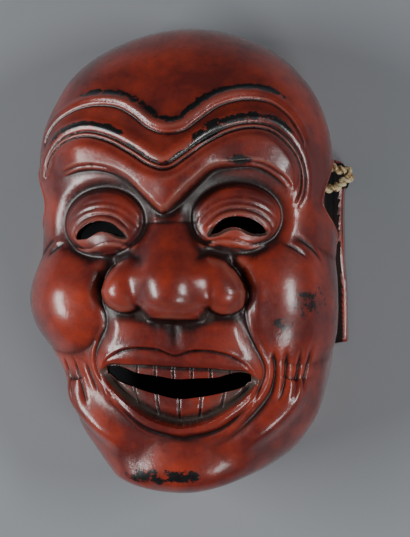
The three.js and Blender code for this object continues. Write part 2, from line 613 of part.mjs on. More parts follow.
// The sheet, closed by a flat fan across its foot, as a solid
function closedSheet(wasm, pointAt, size, tolerance, foot) {
  const { points, faces } = facetedSheet(pointAt, size, tolerance);
  const used = new Set(faces.flat());
  const at = (i, j) => i * (size + 1) + j;
  const ring = [];
  const edges = [(k) => at(k, 0), (k) => at(size, k), (k) => at(size - k, size), (k) => at(0, size - k)];
  for (const edge of edges) {
    for (let k = 0; k < size; k += 1) ring.push(edge(k));
  }
  const kept = ring.filter((index) => used.has(index));
  const hub = points.length;
  points.push(new THREE.Vector3(0, RIM_MIDDLE, foot));
  kept.forEach((index, k) => faces.push([kept[(k + 1) % kept.length], index, hub]));
  const order = [...new Set(faces.flat())];
  const renamed = new Map(order.map((index, k) => [index, k]));
  const positions = order.flatMap((index) => points[index].toArray());
  return solidOf(wasm, positions, faces.flat().map((index) => renamed.get(index)));
}

// A straight cutter along Z through an outline drawn on the face
function cutter(wasm, outline) {
  const [from, to] = OPENING_REACH;
  const shape = new THREE.Shape(outline.map(([x, y]) => new THREE.Vector2(x, y)));
  const bar = new THREE.ExtrudeGeometry(shape, { depth: to - from, bevelEnabled: false, curveSegments: 1 });
  bar.translate(0, 0, from);
  const closed = closedGeometry(bar);
  return solidOf(wasm, closed.attributes.position.array, closed.index.array);
}

function mouthOutline() {
  const outline = [];
  const steps = 28;
  const place = (k) => MOUTH_CORNER * ((2 * k) / steps - 1);
  const level = (x, knots) => aboveMouthLine(Math.abs(x), 0, knots).level;
  for (let k = 0; k <= steps; k += 1) outline.push([place(k), level(place(k), OPEN_FOOT)]);
  for (let k = steps; k >= 0; k -= 1) outline.push([place(k), level(place(k), OPEN_TOP)]);
  return outline.map(fromFaceOwn);
}

const eyeOutline = (side) => eyeLine.slice(0, -1).filter((point, k) => k % 2 === 0)
  .map(([x, y]) => fromFaceOwn([side * x, y]));

// The side wall's own place along X, at a height above the rim
function wallAt(y, z, side) {
  const inward = clamp(1 - z / SIDE_LEVEL) ** WALL_POWER;
  const half = halfHeight(y - RIM_MIDDLE * inward);
  const up = (y - RIM_MIDDLE * inward) / (half + (RIM_HALF_HEIGHT - half) * inward);
  const across = side * Math.sqrt(1 - up * up);
  const wideX = through(half * up, FACE_MIDDLE) + through(half * up, FACE_WIDTH) * across;
  const rimX = through(RIM_MIDDLE + RIM_HALF_HEIGHT * up, RIM_WIDTH) * across;
  return wideX + (rimX - wideX) * inward;
}

// Places along Y where a block with round corners is given a section of its own
function sectionStops(y0, y1, radius) {
  const corner = Array.from({ length: EAR_CORNER_STEPS }, (none, k) => (
    radius * (1 - Math.cos(((k / EAR_CORNER_STEPS) * Math.PI) / 2))));
  const straight = y1 - y0 - 2 * radius;
  const pieces = Math.ceil(straight / EAR_SIDE_STEP);
  const between = Array.from({ length: pieces + 1 }, (none, k) => y0 + radius + (straight * k) / pieces);
  return [...corner.map((off) => y0 + off), ...between, ...corner.reverse().map((off) => y1 - off)];
}

// A block on a side wall, between two distances out of it: a box with round corners, narrower by an
// inset at the foot, in sections along Y, so that its top and foot follow the wall
function wallBlock(wasm, [y0, y1, z0, z1, radius], side, footAt, topAt, inset = 0) {
  const [middleY, middleZ] = [(y0 + y1) / 2, (z0 + z1) / 2];
  const [halfY, halfZ] = [(y1 - y0) / 2, (z1 - z0) / 2];
  const places = [];
  for (const stop of sectionStops(y0, y1, radius)) {
    const past = Math.max(Math.abs(stop - middleY) - halfY + radius, 0);
    const tall = halfZ - radius + Math.sqrt(Math.max(radius ** 2 - past ** 2, 0));
    for (const [placeAt, narrower] of [[footAt, inset], [topAt, 0]]) {
      const y = middleY + (stop - middleY) * (1 - narrower / halfY);
      for (const edge of [-1, 1]) {
        const z = middleZ + edge * tall * (1 - narrower / halfZ);
        places.push([placeAt(y, wallAt(y, z, side)), y, z]);
      }
    }
  }
  const last = places.length - 4;
  const faces = [[0, 2, 3], [0, 3, 1], [last, last + 3, last + 2], [last, last + 1, last + 3]];
  for (let a = 0; a < last; a += 4) {
    for (const [p, q] of [[0, 1], [1, 3], [3, 2], [2, 0]]) {
      faces.push([a + p, a + q, a + q + 4], [a + p, a + q + 4, a + p + 4]);
    }
  }
  const facing = side > 0 ? faces : faces.map(([p, q, r]) => [p, r, q]);
  return solidOf(wasm, places.flat(), facing.flat());
}

// Ears: a flange that reaches out to a set distance from the middle, a round-ended hollow and a long
// ditch before it, and the cord's slot
function withEar(wasm, plain, side) {
  const off = (distance) => (y, wall) => wall + side * distance;
  const reach = (y) => side * through(y, EAR_REACH);
  return plain
    .add(wallBlock(wasm, EAR_FLANGE, side, off(EAR_ROOT), reach))
    .subtract(wallBlock(wasm, EAR_HOLLOW, side, off(CUT_FLOOR), off(CUT_CLEAR), HOLLOW_INSET))
    .subtract(wallBlock(wasm, EAR_DITCH, side, off(CUT_FLOOR), off(CUT_CLEAR), DITCH_INSET))
    .subtract(wallBlock(wasm, CORD_SLOT, side, off(-CUT_CLEAR), off(CUT_CLEAR)));
}

function geometryOf(solid) {
  const mesh = solid.getMesh();
  const geometry = new THREE.BufferGeometry();
  geometry.setAttribute('position', new THREE.BufferAttribute(mesh.vertProperties, 3));
  geometry.setIndex(new THREE.BufferAttribute(mesh.triVerts, 1));
  return geometry;
}

// The loop: out of the knot, through the slot's lower end, round, and back through its upper end
function cordRoute() {
  const [x, y, z] = LOOP_MIDDLE;
  const points = LEG.map(([along, off]) => new THREE.Vector3(KNOT_FACE + along, LEG_MIDDLE - off, z));
  const steps = 8;
  for (let k = 0; k <= steps; k += 1) {
    const angle = (k / steps - 0.5) * Math.PI;
    points.push(new THREE.Vector3(x + LOOP_RADIUS * Math.cos(angle), y + LOOP_RADIUS * Math.sin(angle), z));
  }
  const back = LEG.map(([along, off]) => new THREE.Vector3(KNOT_FACE + along, LEG_MIDDLE + off, z));
  return new THREE.CatmullRomCurve3([...points, ...back.reverse()]);
}

function cordTube() {
  const corners = [];
  for (let k = 0; k < CORD_SIDES; k += 1) {
    const angle = (k / CORD_SIDES) * 2 * Math.PI;
    corners.push(new THREE.Vector2(CORD_RADIUS * Math.cos(angle), CORD_RADIUS * Math.sin(angle)));
  }
  const section = new THREE.Shape(corners);
  const sweep = { extrudePath: cordRoute(), steps: CORD_STEPS, curveSegments: 1 };
  return new THREE.ExtrudeGeometry(section, sweep);
}

// The knot: a round lump with a flat face where the two ends of the cord come out of it
function knotLump() {
  const profilePoints = [new THREE.Vector2(0, 0)];
  const steps = 6;
  for (let k = 0; k <= steps; k += 1) {
    const swell = Math.sin((k / steps) * Math.PI) ** 0.7;
    const radius = KNOT_END_RADIUS + (KNOT_RADIUS - KNOT_END_RADIUS) * swell;
    profilePoints.push(new THREE.Vector2(radius, (KNOT_LENGTH * k) / steps));
  }
  profilePoints.push(new THREE.Vector2(0, KNOT_LENGTH));
  const lump = new THREE.LatheGeometry(profilePoints, KNOT_SIDES);
  lump.rotateZ(Math.PI / 2);
  lump.translate(KNOT_FACE, LEG_MIDDLE, LOOP_MIDDLE[2]);
  return lump;
}

function closedGeometry(geometry) {
  geometry.deleteAttribute('normal');
  geometry.deleteAttribute('uv');
  return mergeVertices(geometry, 1e-4);
}

function namedMesh(name, geometry, look) {
  const mesh = new THREE.Mesh(geometry, new THREE.MeshStandardMaterial(look));
  mesh.name = name;
  return mesh;
}

const wasm = await Module();
wasm.setup();
const hollow = closedSheet(wasm, innerPoint, INNER_GRID, INNER_TOLERANCE, -SKIRT);
const whole = closedSheet(wasm, outerPoint, OUTER_GRID, OUTER_TOLERANCE, 0).subtract(hollow);
const open = whole
  .subtract(cutter(wasm, mouthOutline()))
  .subtract(cutter(wasm, eyeOutline(1)))
  .subtract(cutter(wasm, eyeOutline(-1).reverse()));
const wood = withEar(wasm, withEar(wasm, open, 1), -1);

const mask = namedMesh('mask', geometryOf(wood), LACQUER);
const loop = namedMesh('cord_loop', closedGeometry(cordTube()), STRAW);
const knot = namedMesh('cord_knot', closedGeometry(knotLump()), STRAW_KNOT);

// The origin is under the middle of the mask's box, on the plane of its rim
mask.geometry.computeBoundingBox();
const middle = mask.geometry.boundingBox.getCenter(new THREE.Vector3());
const group = new THREE.Group();
group.position.set(-middle.x, -middle.y, 0);
group.add(mask, loop, knot);

export default group;
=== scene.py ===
import math

import bpy
import numpy as np
from mathutils import Matrix, Vector


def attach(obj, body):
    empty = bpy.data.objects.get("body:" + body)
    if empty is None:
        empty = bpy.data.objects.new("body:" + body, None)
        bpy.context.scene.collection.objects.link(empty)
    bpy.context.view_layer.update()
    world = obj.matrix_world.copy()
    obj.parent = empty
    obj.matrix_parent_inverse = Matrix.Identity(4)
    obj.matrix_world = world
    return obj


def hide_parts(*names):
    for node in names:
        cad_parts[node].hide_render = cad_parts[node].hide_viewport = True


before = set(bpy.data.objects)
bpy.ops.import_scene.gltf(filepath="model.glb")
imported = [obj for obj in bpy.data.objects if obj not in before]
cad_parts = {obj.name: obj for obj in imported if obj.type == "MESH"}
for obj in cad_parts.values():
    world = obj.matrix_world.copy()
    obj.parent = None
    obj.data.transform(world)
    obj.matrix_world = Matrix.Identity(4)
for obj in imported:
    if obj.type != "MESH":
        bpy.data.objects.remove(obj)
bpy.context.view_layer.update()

scene = bpy.context.scene

# Camera: it looks down on the lying mask from 1.3 m, turned a little to the mask's own left, so that
# the ear and the cord on that side show. The carver's middle line lies beside the middle of the box.
CARVED_MIDDLE = np.array([0.0, 1.9594, 0.0])  # mm
VIEW_TURN = math.radians(9.5)
VIEW_AWAY, VIEW_LENS = 1.3, 156.9
VIEW_AIM = (3.9, -3.4)  # mm to the right of and above the carver's middle, as the camera sees it


def placed(name, data):
    """An object of that name in the scene, with that mesh, lamp or camera."""
    thing = bpy.data.objects.new(name, data)
    scene.collection.objects.link(thing)
    return thing


view_right = Vector((math.cos(VIEW_TURN), 0, -math.sin(VIEW_TURN)))
view_back = Vector((math.sin(VIEW_TURN), 0, math.cos(VIEW_TURN)))
view_up = Vector((0, 1, 0))
aim = (view_right * VIEW_AIM[0] + view_up * VIEW_AIM[1] - Vector(CARVED_MIDDLE)) / 1000
camera = placed("camera", bpy.data.cameras.new("camera"))
camera.data.lens = VIEW_LENS
camera.data.sensor_width = 36
camera.matrix_world = Matrix.Translation(aim + view_back * VIEW_AWAY) @ Matrix(
    (view_right, view_up, view_back)).transposed().to_4x4()
scene.camera = camera


# Cord: a loop of twisted hemp through the slot at the top of the mask's left ear, 4 mm thick. It is laid
# up from two yarns, and its two ends are tied in a stop knot behind the wall.
CORD_THICK = 4.0
CORD_LAY = 8.4  # mm along the cord for one full turn of a yarn
LOOP_MIDDLE = (85.2, 46.4, 36.0)
LOOP_RADIUS, LEG_MIDDLE = 3.0, 45.2
SLOT_SPREAD = 5.8  # mm from the middle to each strand where it passes the wall
KNOT_FACE, KNOT_GAP = 62.8, 0.3
HEMP = ["#8f6f45", "#cbab7c", "#e8d6ae"]  # shadowed, middle and bleached fibre
FIBRE_SIZE, HEMP_CLOUD = 1.111, 6.25  # mm
LOOP_STEPS, KNOT_STEPS = 161, 220
YARN_RIBS, RIB_DEPTH = 9, 0.055  # fibres that show round a yarn, and their height as a share of it
YARN_FULLNESS = 1.3  # a yarn's thickness over half the cord's: the two press into each other


def linear(colour):
    """An sRGB hex colour as linear red, green, blue and 1."""
    part = np.array([int(colour[k:k + 2], 16) for k in (1, 3, 5)]) / 255
    return (*np.where(part <= 0.04045, part / 12.92, ((part + 0.055) / 1.055) ** 2.4), 1.0)


def add(tree, kind, inputs=None, **settings):
    """Adds a node with its settings. An input is given by name or number, as a value or an output."""
    node = tree.nodes.new("ShaderNode" + kind)
    for key, value in settings.items():
        setattr(node, key, value)
    for key, value in (inputs or {}).items():
        if isinstance(value, bpy.types.NodeSocket):
            tree.links.new(value, node.inputs[key])
        else:
            node.inputs[key].default_value = value
    return node


def noise(tree, place, size, detail, roughness=0.5):
    """A cloud texture whose largest spots lie about size mm apart."""
    return add(tree, "TexNoise", {"Vector": place, "Scale": 1000 / size, "Detail": detail,
                                  "Roughness": roughness}).outputs[0]


def ranged(tree, value, low, high, start=0.0, end=1.0):
    """start where the value is low or less, end where it is high or more, and evenly between them."""
    return add(tree, "MapRange", {0: value, 1: low, 2: high, 3: start, 4: end}).outputs[0]


def blended(tree, share, first, second):
    """The first colour where the share is 0, the second where it is 1. The second is given as hex."""
    return add(tree, "Mix", {0: share, 6: first, 7: linear(second)}, data_type="RGBA").outputs[2]


def scaled_sum(tree, value, scale, more):
    """The value times the scale, plus more."""
    return add(tree, "Math", {0: value, 1: scale, 2: more}, operation="MULTIPLY_ADD").outputs[0]


def new_material(name):
    """An empty material of that name, with its tree, its surface shader and its output joined."""
    material = bpy.data.materials.new(name)
    material.use_nodes = True
    tree = material.node_tree
    tree.nodes.clear()
    surface = add(tree, "BsdfPrincipled")
    add(tree, "OutputMaterial", {"Surface": surface.outputs[0]})
    return material, tree, surface


def new_piece(name, points, faces, *materials):
    """A mesh object at the origin, from points in mm in the carver's frame, with smooth faces."""
    mesh = bpy.data.meshes.new(name)
    mesh.from_pydata((points - CARVED_MIDDLE) / 1000, [], faces)
    mesh.shade_smooth()
    for material in materials:
        mesh.materials.append(material)
    return placed(name, mesh)


def catmull_rom(points, steps):
    """Smooth curve through the points, in so many steps from each to the next: a cubic whose slope at a
    point is half the way from the point before it to the one after it."""
    p = np.vstack([2 * points[0] - points[1], points, 2 * points[-1] - points[-2]])
    t = np.linspace(0, 1, steps, endpoint=False)[None, :, None]
    a, b, c, d = (p[k:len(p) - 3 + k, None] for k in range(4))
    curve = ((2 * b - 2 * c + (c - a) / 2 + (d - b) / 2) * t ** 3
             + (3 * c - 3 * b - (c - a) - (d - b) / 2) * t ** 2 + (c - a) / 2 * t + b)
    return np.vstack([curve.reshape(-1, points.shape[1]), points[-1:]])


def through_points(points, count):
    """The curve through the points, cut at count places the same distance apart, and its length."""
    curve = catmull_rom(points, 24)
    length = np.append(0, np.cumsum(np.linalg.norm(np.diff(curve, axis=0), axis=1)))
    place = np.linspace(0, length[-1], count)
    return np.stack([np.interp(place, length, curve[:, k]) for k in range(3)], -1), length[-1]


def laid_cord(route, side, length, closed=False):
    """Two yarns turning about the route. A yarn's middle stands half its own thickness off the route, at
    an angle that grows by a full turn each CORD_LAY; its section is a circle with nine low fibre ribs
    that turn the other way. side is a direction across the route at each point."""
    steps, around = len(route), 28
    forward = np.gradient(route, axis=0)
    if closed:
        forward = np.roll(route, -1, 0) - np.roll(route, 1, 0)
    forward /= np.linalg.norm(forward, axis=1, keepdims=True)
    across = side - (side * forward).sum(1, keepdims=True) * forward
    across /= np.linalg.norm(across, axis=1, keepdims=True)
    over = np.cross(forward, across)
    along = np.linspace(0, length, steps, endpoint=not closed)
    turns = length / CORD_LAY if not closed else round(length / CORD_LAY)
    lay = 2 * np.pi * turns * along / length
    thick = CORD_THICK / 4 * YARN_FULLNESS
    angle = np.linspace(0, 2 * np.pi, around, endpoint=False)
    points, faces = [], []
    for yarn in (0, np.pi):
        turn = lay[:, None] + yarn
        rib = 1.02 * thick * (1 + RIB_DEPTH * np.cos(YARN_RIBS * angle - 3 * turn))
        a, b = thick * np.cos(turn) + rib * np.cos(angle), thick * np.sin(turn) + rib * np.sin(angle)
        ring = (route[:, None] + a[..., None] * across[:, None] + b[..., None] * over[:, None]).reshape(-1, 3)
        start = sum(len(p) for p in points)
        i, j = np.meshgrid(np.arange(steps if closed else steps - 1), np.arange(around), indexing="ij")
        ahead, beside = (i + 1) % steps, (j + 1) % around
        low, high = start + i * around, start + ahead * around
        faces.append(np.stack([low + j, low + beside, high + beside, high + j], -1).reshape(-1, 4))
        if not closed:
            hub, back, j = start + len(ring), start + (steps - 1) * around, np.arange(around)
            ahead = (j + 1) % around
            faces.append(np.stack([np.full(around, hub), ahead + start, j + start], -1))
            faces.append(np.stack([np.full(around, hub + 1), j + back, ahead + back], -1))
            ring = np.vstack([ring, ring.reshape(steps, around, 3)[[0, -1]].mean(1)])
        points.append(ring)
    return np.vstack(points), [face for block in faces for face in block.tolist()]


# Hemp: twisted bast fibre, undyed. To the eye a pale straw, mat, with darker hollows between the yarns
# and single bleached fibres that run along them.
hemp, tree, surface = new_material("hemp_cord")
place = add(tree, "TexCoord").outputs["Object"]
fibre = noise(tree, place, FIBRE_SIZE, 3.0)
mixed = scaled_sum(tree, fibre, 1.0, noise(tree, place, HEMP_CLOUD, 2.0))
tint = add(tree, "ValToRGB", {0: mixed})
ramp = tint.color_ramp.elements
ramp[0].position, ramp[0].color = 0.75, linear(HEMP[0])
ramp[1].position, ramp[1].color = 1.25, linear(HEMP[2])
ramp.new(0.98).color = linear(HEMP[1])
bump = add(tree, "Bump", {"Height": fibre, "Strength": 0.5, "Distance": 0.0002})
tree.links.new(tint.outputs[0], surface.inputs["Base Color"])
tree.links.new(bump.outputs[0], surface.inputs["Normal"])
surface.inputs["Roughness"].default_value = 0.85
surface.inputs["Specular IOR Level"].default_value = 0.25

leg = [(KNOT_FACE + KNOT_GAP, 2.4), (KNOT_FACE + 2, 2.4), (KNOT_FACE + 5, 3.2), (KNOT_FACE + 9, 5.2),
       (KNOT_FACE + 13, SLOT_SPREAD), (KNOT_FACE + 17, 5.4), (KNOT_FACE + 20, 4.2)]
bend = np.linspace(-0.5, 0.5, 9) * np.pi
turned = [(LOOP_MIDDLE[0] + LOOP_RADIUS * math.cos(t), LOOP_MIDDLE[1] + LOOP_RADIUS * math.sin(t))
          for t in bend]
plan = [(x, LEG_MIDDLE - y) for x, y in leg] + turned + [(x, LEG_MIDDLE + y) for x, y in leg[::-1]]
knots = np.array([(x, y, LOOP_MIDDLE[2]) for x, y in plan])
loop_route, loop_length = through_points(knots, LOOP_STEPS)
loop_points, loop_faces = laid_cord(loop_route, np.tile((0.0, 0.0, 1.0), (LOOP_STEPS, 1)), loop_length)
cord = new_piece("cord_loop_yarn", loop_points, loop_faces, hemp)

# Stop knot: an overhand knot drawn tight, so the cord lies in a trefoil: two turns about a ring while
# it weaves three times up and down
KNOT_RING = (1.35, 2.7)  # mm, the ring's two circles
KNOT_RISE = 2.4
KNOT_DEEP = 4  # mm from the knot's face to its middle
t = np.linspace(0, 2 * np.pi, KNOT_STEPS, endpoint=False)
round_y = KNOT_RING[0] * np.sin(t) + KNOT_RING[1] * np.sin(2 * t)
round_z = KNOT_RING[0] * np.cos(t) - KNOT_RING[1] * np.cos(2 * t)
knot_route = np.stack([KNOT_FACE - KNOT_DEEP - KNOT_RISE * np.sin(3 * t), LEG_MIDDLE + round_y,
                       LOOP_MIDDLE[2] + round_z], -1)
knot_length = np.linalg.norm(np.diff(np.vstack([knot_route, knot_route[:1]]), axis=0), axis=1).sum()
knot_points, knot_faces = laid_cord(knot_route, np.tile((1.0, 0.0, 0.0), (KNOT_STEPS, 1)), knot_length,
                                    closed=True)
knot = new_piece("cord_knot_yarn", knot_points, knot_faces, hemp)
for piece, node in ((cord, "cord_loop"), (knot, "cord_knot")):
    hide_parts(node)
    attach(piece, "root")


# Mask: one block of wood, carved outside to a laughing face and hollowed behind to an 8 mm wall. Its
# plain shell is a full dome over an oval, and a side wall that turns in to a flat back rim.
CROWN_AT, CHIN_AT = 126.5, 122.5
WALL_THICK = 8.0
SIDE_LEVEL, CHIN_RISE, CROWN_FALL = 38.0, 20.0, 10.0
RIM_MIDDLE, RIM_HALF = 9.0, 117.5
FRONT_SHARE = 0.77
DOME_POWER = 0.4  # 0.5 is a round dome, less is fuller
WALL_POWER = 1.4  # how late the side wall turns in towards the rim
FACE_WIDTH = [(-123, 92), (-120, 96), (-115, 96.5), (-110, 94), (-100, 91.5), (-85, 87.9), (-68, 82.3),
              (-57, 80.5), (-45, 81), (-36, 80.4), (-20, 78.4), (-7, 78.2), (6.5, 79.4), (28, 81.1),
              (49, 86.5), (71, 93.2), (87, 97.5), (98, 101.3), (109, 104.3), (115, 105), (125, 103)]
FACE_MIDDLE = [(-123, -0.5), (-115, -0.5), (-110, 2), (-100, 4.9), (-90, 5.4), (-79, 6.2), (-68, 5.9),
               (-57, 4.9), (-45, 2.6), (-31, -0.7), (-20, -1.3), (-7, 0.4), (6.5, 1.9), (28, 1.9), (49, 0.2),
               (71, 0.1), (87, 0.3), (103, -0.5), (125, 1)]
FACE_DEPTH = [(-125, 86), (-100, 87), (-70, 88), (-30, 87), (0, 86), (30, 87), (70, 90), (100, 90),
              (125, 88)]
RIM_WIDTH = [(-107, 122), (-99, 120), (-86, 106), (-73, 97), (-60, 91), (-47, 86), (-20, 78), (20, 74),
             (61, 81), (87, 88), (113, 92), (125, 93)]
OUTER_GRID, INNER_GRID = ((1024, 256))


def ease(start, end, x):
    """0 before start, 1 past end, and a smooth rise between them: 3t² - 2t³."""
    t = np.clip((x - start) / (end - start), 0, 1)
    return t * t * (3 - 2 * t)


def hump(off, width):
    """A bell of height 1: e to the minus (off / width) squared."""
    return np.exp(-(off / width) ** 2)


def through(x, knots):
    """A smooth curve through the knots (place, value), flat past both ends: cubic pieces whose slope at a
    knot is that between its two neighbours."""
    at, value = np.array(knots, float).T
    low, high = np.maximum(np.arange(len(at)) - 1, 0), np.minimum(np.arange(len(at)) + 1, len(at) - 1)
    slope = (value[high] - value[low]) / (at[high] - at[low])
    i = np.clip(np.searchsorted(at, x) - 1, 0, len(at) - 2)
    span = at[i + 1] - at[i]
    t = np.clip((x - at[i]) / span, 0, 1)
    rise = t * t * (3 - 2 * t)
    return (value[i] + (value[i + 1] - value[i]) * rise + t * (1 - t) ** 2 * span * slope[i]
            + t * t * (t - 1) * span * slope[i + 1])


def widest_level(x, y):
    """Height of the widest outline: level at the sides, higher at the chin and lower at the crown."""
    chin = ease(-85, -120, y) * ease(60, 20, np.abs(x))
    return SIDE_LEVEL + CHIN_RISE * chin - CROWN_FALL * ease(70, 120, y)


def half_height(y):
    """From the middle down to the chin, or up to the crown."""
    return np.where(y < 0, CHIN_AT, CROWN_AT)


def dome(x, y):
    """Height of the plain front: (1 - distance from the middle, as a share of the oval, squared) to the
    dome's power, between the widest outline and the full depth."""
    q = ((x - through(y, FACE_MIDDLE)) / through(y, FACE_WIDTH)) ** 2 + (y / half_height(y)) ** 2
    low = widest_level(x, y)
    return low + (through(y, FACE_DEPTH) - low) * np.clip(1 - q, 0, 1) ** DOME_POWER


def shell(a, b, foot):
    """Point of the plain shell for a and b from -1 to 1. The square is drawn into a disc; its middle share
    is the dome, and its outer ring runs down the side wall to the rim, turning in late."""
    u, v = a * np.sqrt(1 - b * b / 2), b * np.sqrt(1 - a * a / 2)
    reach = np.hypot(u, v)
    across, up = u / np.maximum(reach, 1e-9), v / np.maximum(reach, 1e-9)
    radius = np.sin(np.clip(reach / FRONT_SHARE, 0, 1) * np.pi / 2)
    y = half_height(up) * radius * up
    x = through(y, FACE_MIDDLE) + through(y, FACE_WIDTH) * radius * across
    down = np.clip((reach - FRONT_SHARE) / (1 - FRONT_SHARE), 0, 1)
    rim_y = RIM_MIDDLE + RIM_HALF * up
    rim_x = through(rim_y, RIM_WIDTH) * across
    low = widest_level(x, y)
    z = np.where(down > 0, low + (foot - low) * down, dome(x, y))
    inward = down ** WALL_POWER
    return np.stack([x + (rim_x - x) * inward, y + (rim_y - y) * inward, z], -1)


def outward(points):
    """Unit normals of a grid of points: the cross product of its two directions."""
    normal = np.cross(np.gradient(points, axis=0), np.gradient(points, axis=1))
    return normal / np.maximum(np.linalg.norm(normal, axis=-1, keepdims=True), 1e-9)


# Lines of the carving. Brow, folds and creases are drawn on the mask itself, in mm from the carver's
# middle, because they differ from side to side.
LINE_STEPS = 8
FOREHEAD_RIDGE = [(-74, 57.1), (-71.9, 67.2), (-65.9, 75.1), (-55.4, 80.9), (-44.2, 83.3), (-31, 82.3),
                  (-21.2, 77.5), (-11.6, 70.3), (-2.3, 67), (6.6, 68.6), (14.3, 74.6), (22.8, 81.1),
                  (32.3, 84.7), (41.8, 85.5), (51.4, 83.3), (60.6, 75.6), (66.5, 64.6), (68, 56)]
BROW_RIDGE = [(-72.3, 42.7), (-72, 48.5), (-68.2, 57.2), (-59.8, 64.2), (-47.3, 67.2), (-34.2, 64.5),
              (-21.4, 58.1), (-10, 51.2), (-0.9, 49), (8, 54.4), (19.7, 63.3), (32.1, 69.3),
              (43.6, 70.8), (53.1, 68), (61.6, 59.7), (66.3, 49.4), (66.8, 37.7), (63.2, 26.3)]
BROW_EDGE = [(-63.9, 42.3), (-55.6, 47.1), (-44.4, 49.1), (-33.6, 47.7), (-23.1, 42.8), (-13.8, 33.8),
             (-6.6, 26.8), (-2.2, 25.4), (3.4, 29), (13.3, 39.3), (23, 47.4), (34.6, 49.6), (44.1, 49.7),
             (51.7, 46.2), (59.2, 39), (63, 27.2)]
SMILE_LEFT = [(28.3, 0), (33.3, -2.6), (36.9, -7.8), (38.6, -14.5), (38.3, -21.3), (38.4, -27.5),
              (39.9, -35.2), (42.8, -43.1), (46.1, -49.8), (47.9, -56.1), (46.8, -62.4), (42.6, -69.7),
              (35.8, -77.6), (27.8, -85), (18.2, -89.8), (5.5, -92.1)]
SMILE_RIGHT = [(-26.6, 0), (-32.2, -2.1), (-36.1, -6.8), (-37.6, -13.1), (-37, -19.9), (-35.3, -26.1),
               (-34.6, -33.5), (-37.5, -39.8), (-40.6, -46.2), (-41.6, -52.5), (-40.1, -58.3),
               (-35.8, -65.1), (-29.4, -73.5), (-22.1, -81.9), (-12.6, -88.6), (5.5, -92.1)]
TEMPLE_CREASES = [[(61.5, 14), (67, 10.8), (70.5, 7.5), (73.2, 3), (74.8, -2)],
                  [(56, 10), (61, 7.8), (65, 4.8), (69, 0.6)],
                  [(-64, 13.5), (-69, 10), (-73, 6), (-76, 0)],
                  [(-60, 10), (-65, 7), (-69, 2)]]
CHEEK_CREASES = [[(-62, -47.8), (-59.4, -58.6), (-54.9, -68.1), (-50.4, -76)],
                 [(-56, -47.6), (-52.7, -59.3), (-48.5, -69.9), (-45.3, -76.3)],
                 [(-48.3, -51.7), (-44.2, -62.2), (-40.5, -70.1)],
                 [(52.1, -44.7), (53.2, -57.3), (50.4, -69.9)],
                 [(58, -43.2), (58.6, -55.3), (56.3, -66.9), (52.2, -74.7)],
                 [(63.9, -42.2), (64.4, -54.4), (61.6, -66), (57.5, -74.3)],
                 [(68.2, -41.8), (68.7, -52.4), (66.3, -63), (62.8, -71.4)]]
JAW_ROLL = [(66, -60), (64.8, -64.6), (59.8, -73.4), (52.7, -81.2), (42.4, -89.6), (32, -96.4),
            (20.6, -101.2)]
JAW_ROLLS = [JAW_ROLL, [(7 - x, y) for x, y in JAW_ROLL]]
# Eyes, nose and mouth are drawn on the face's own bent middle line, and mirrored across it
EYE_RING = (36, 22, 22.4, 17.5)
EYE_OPENING = [(22.2, 13.6), (25.5, 18.2), (29.8, 21.4), (36, 22.6), (42.5, 21.6), (46.7, 19.4),
               (49.5, 16.9), (50.3, 13.8), (45.4, 13.2), (41.6, 14.3), (37.9, 16.3), (34, 16.9),
               (30.3, 16.1), (26.5, 14.2)]
LOWER_LID = [(15, 13), (20, 9.5), (27, 11.5), (34, 11.2), (42, 8.5), (50, 8.8), (56, 12)]
LIP_TOP = [(0, -47.6), (8, -45), (15, -44.3), (21.5, -44.7), (29, -46.7), (36, -51), (41, -56.3),
           (46, -60)]
LIP_EDGE = [(0, -54.3), (17, -54.2), (27, -54.7), (36, -55), (41, -57.8), (46, -60)]
OPEN_TOP = [(0, -60.9), (10, -59.9), (21, -58.9), (27, -56.9), (33, -55.6), (38, -56.5), (46, -60)]
OPEN_FOOT = [(0, -71.6), (11, -70), (19, -68.2), (26, -66.2), (33.5, -63.6), (37.5, -60.6), (46, -60)]
TEETH_FOOT = [(0, -85), (9, -83.5), (17, -80.5), (25, -75.5), (31.5, -71), (37.5, -65.5), (41, -61.5),
              (46, -60)]
# The nose's height and half width over its length
NOSE_HEIGHT = [(-32.5, 0), (-30.5, 2.5), (-28, 9), (-24.5, 15), (-20, 18.6), (-14, 19.8), (-7, 18.4),
               (0, 14.6), (8, 9.6), (16, 5.2), (24, 2), (31, 0)]
NOSE_WIDTH = [(-32, 14), (-28, 16.5), (-22, 19.5), (-14, 20.8), (-8, 21), (0, 20), (10, 17), (20, 13.5),
              (30, 11)]


def drawn(knots):
    """A smooth line through the knots, lifted onto the dome."""
    line = catmull_rom(np.array(knots, float), LINE_STEPS)
    return np.column_stack([line, dome(line[:, 0], line[:, 1])])


def beside(place, line, reach):
    """Distance of each place from the line, positive to the left of its run, and the share along it.
    Places out of reach get 99 and 0."""
    flat = place.reshape(-1, 3)
    near = np.nonzero(((flat > line.min(0) - reach) & (flat < line.max(0) + reach)).all(1))[0]
    here = flat[near]
    closest = np.full(len(here), 1e9)
    off, share = np.full(len(flat), 99.0), np.zeros(len(flat))
    for k in range(len(line) - 1):
        run, rel = line[k + 1] - line[k], here - line[k]
        along = np.clip(rel @ run / (run @ run), 0, 1)
        gap = ((rel - along[:, None] * run) ** 2).sum(1)
        nearer = gap < closest
        left = np.where(run[0] * rel[:, 1] - run[1] * rel[:, 0] >= 0, 1.0, -1.0)
        closest[nearer] = gap[nearer]
        off[near[nearer]] = (left * np.sqrt(gap))[nearer]
        share[near[nearer]] = (k + along[nearer]) / (len(line) - 1)
    return off.reshape(place.shape[:-1]), share.reshape(place.shape[:-1])


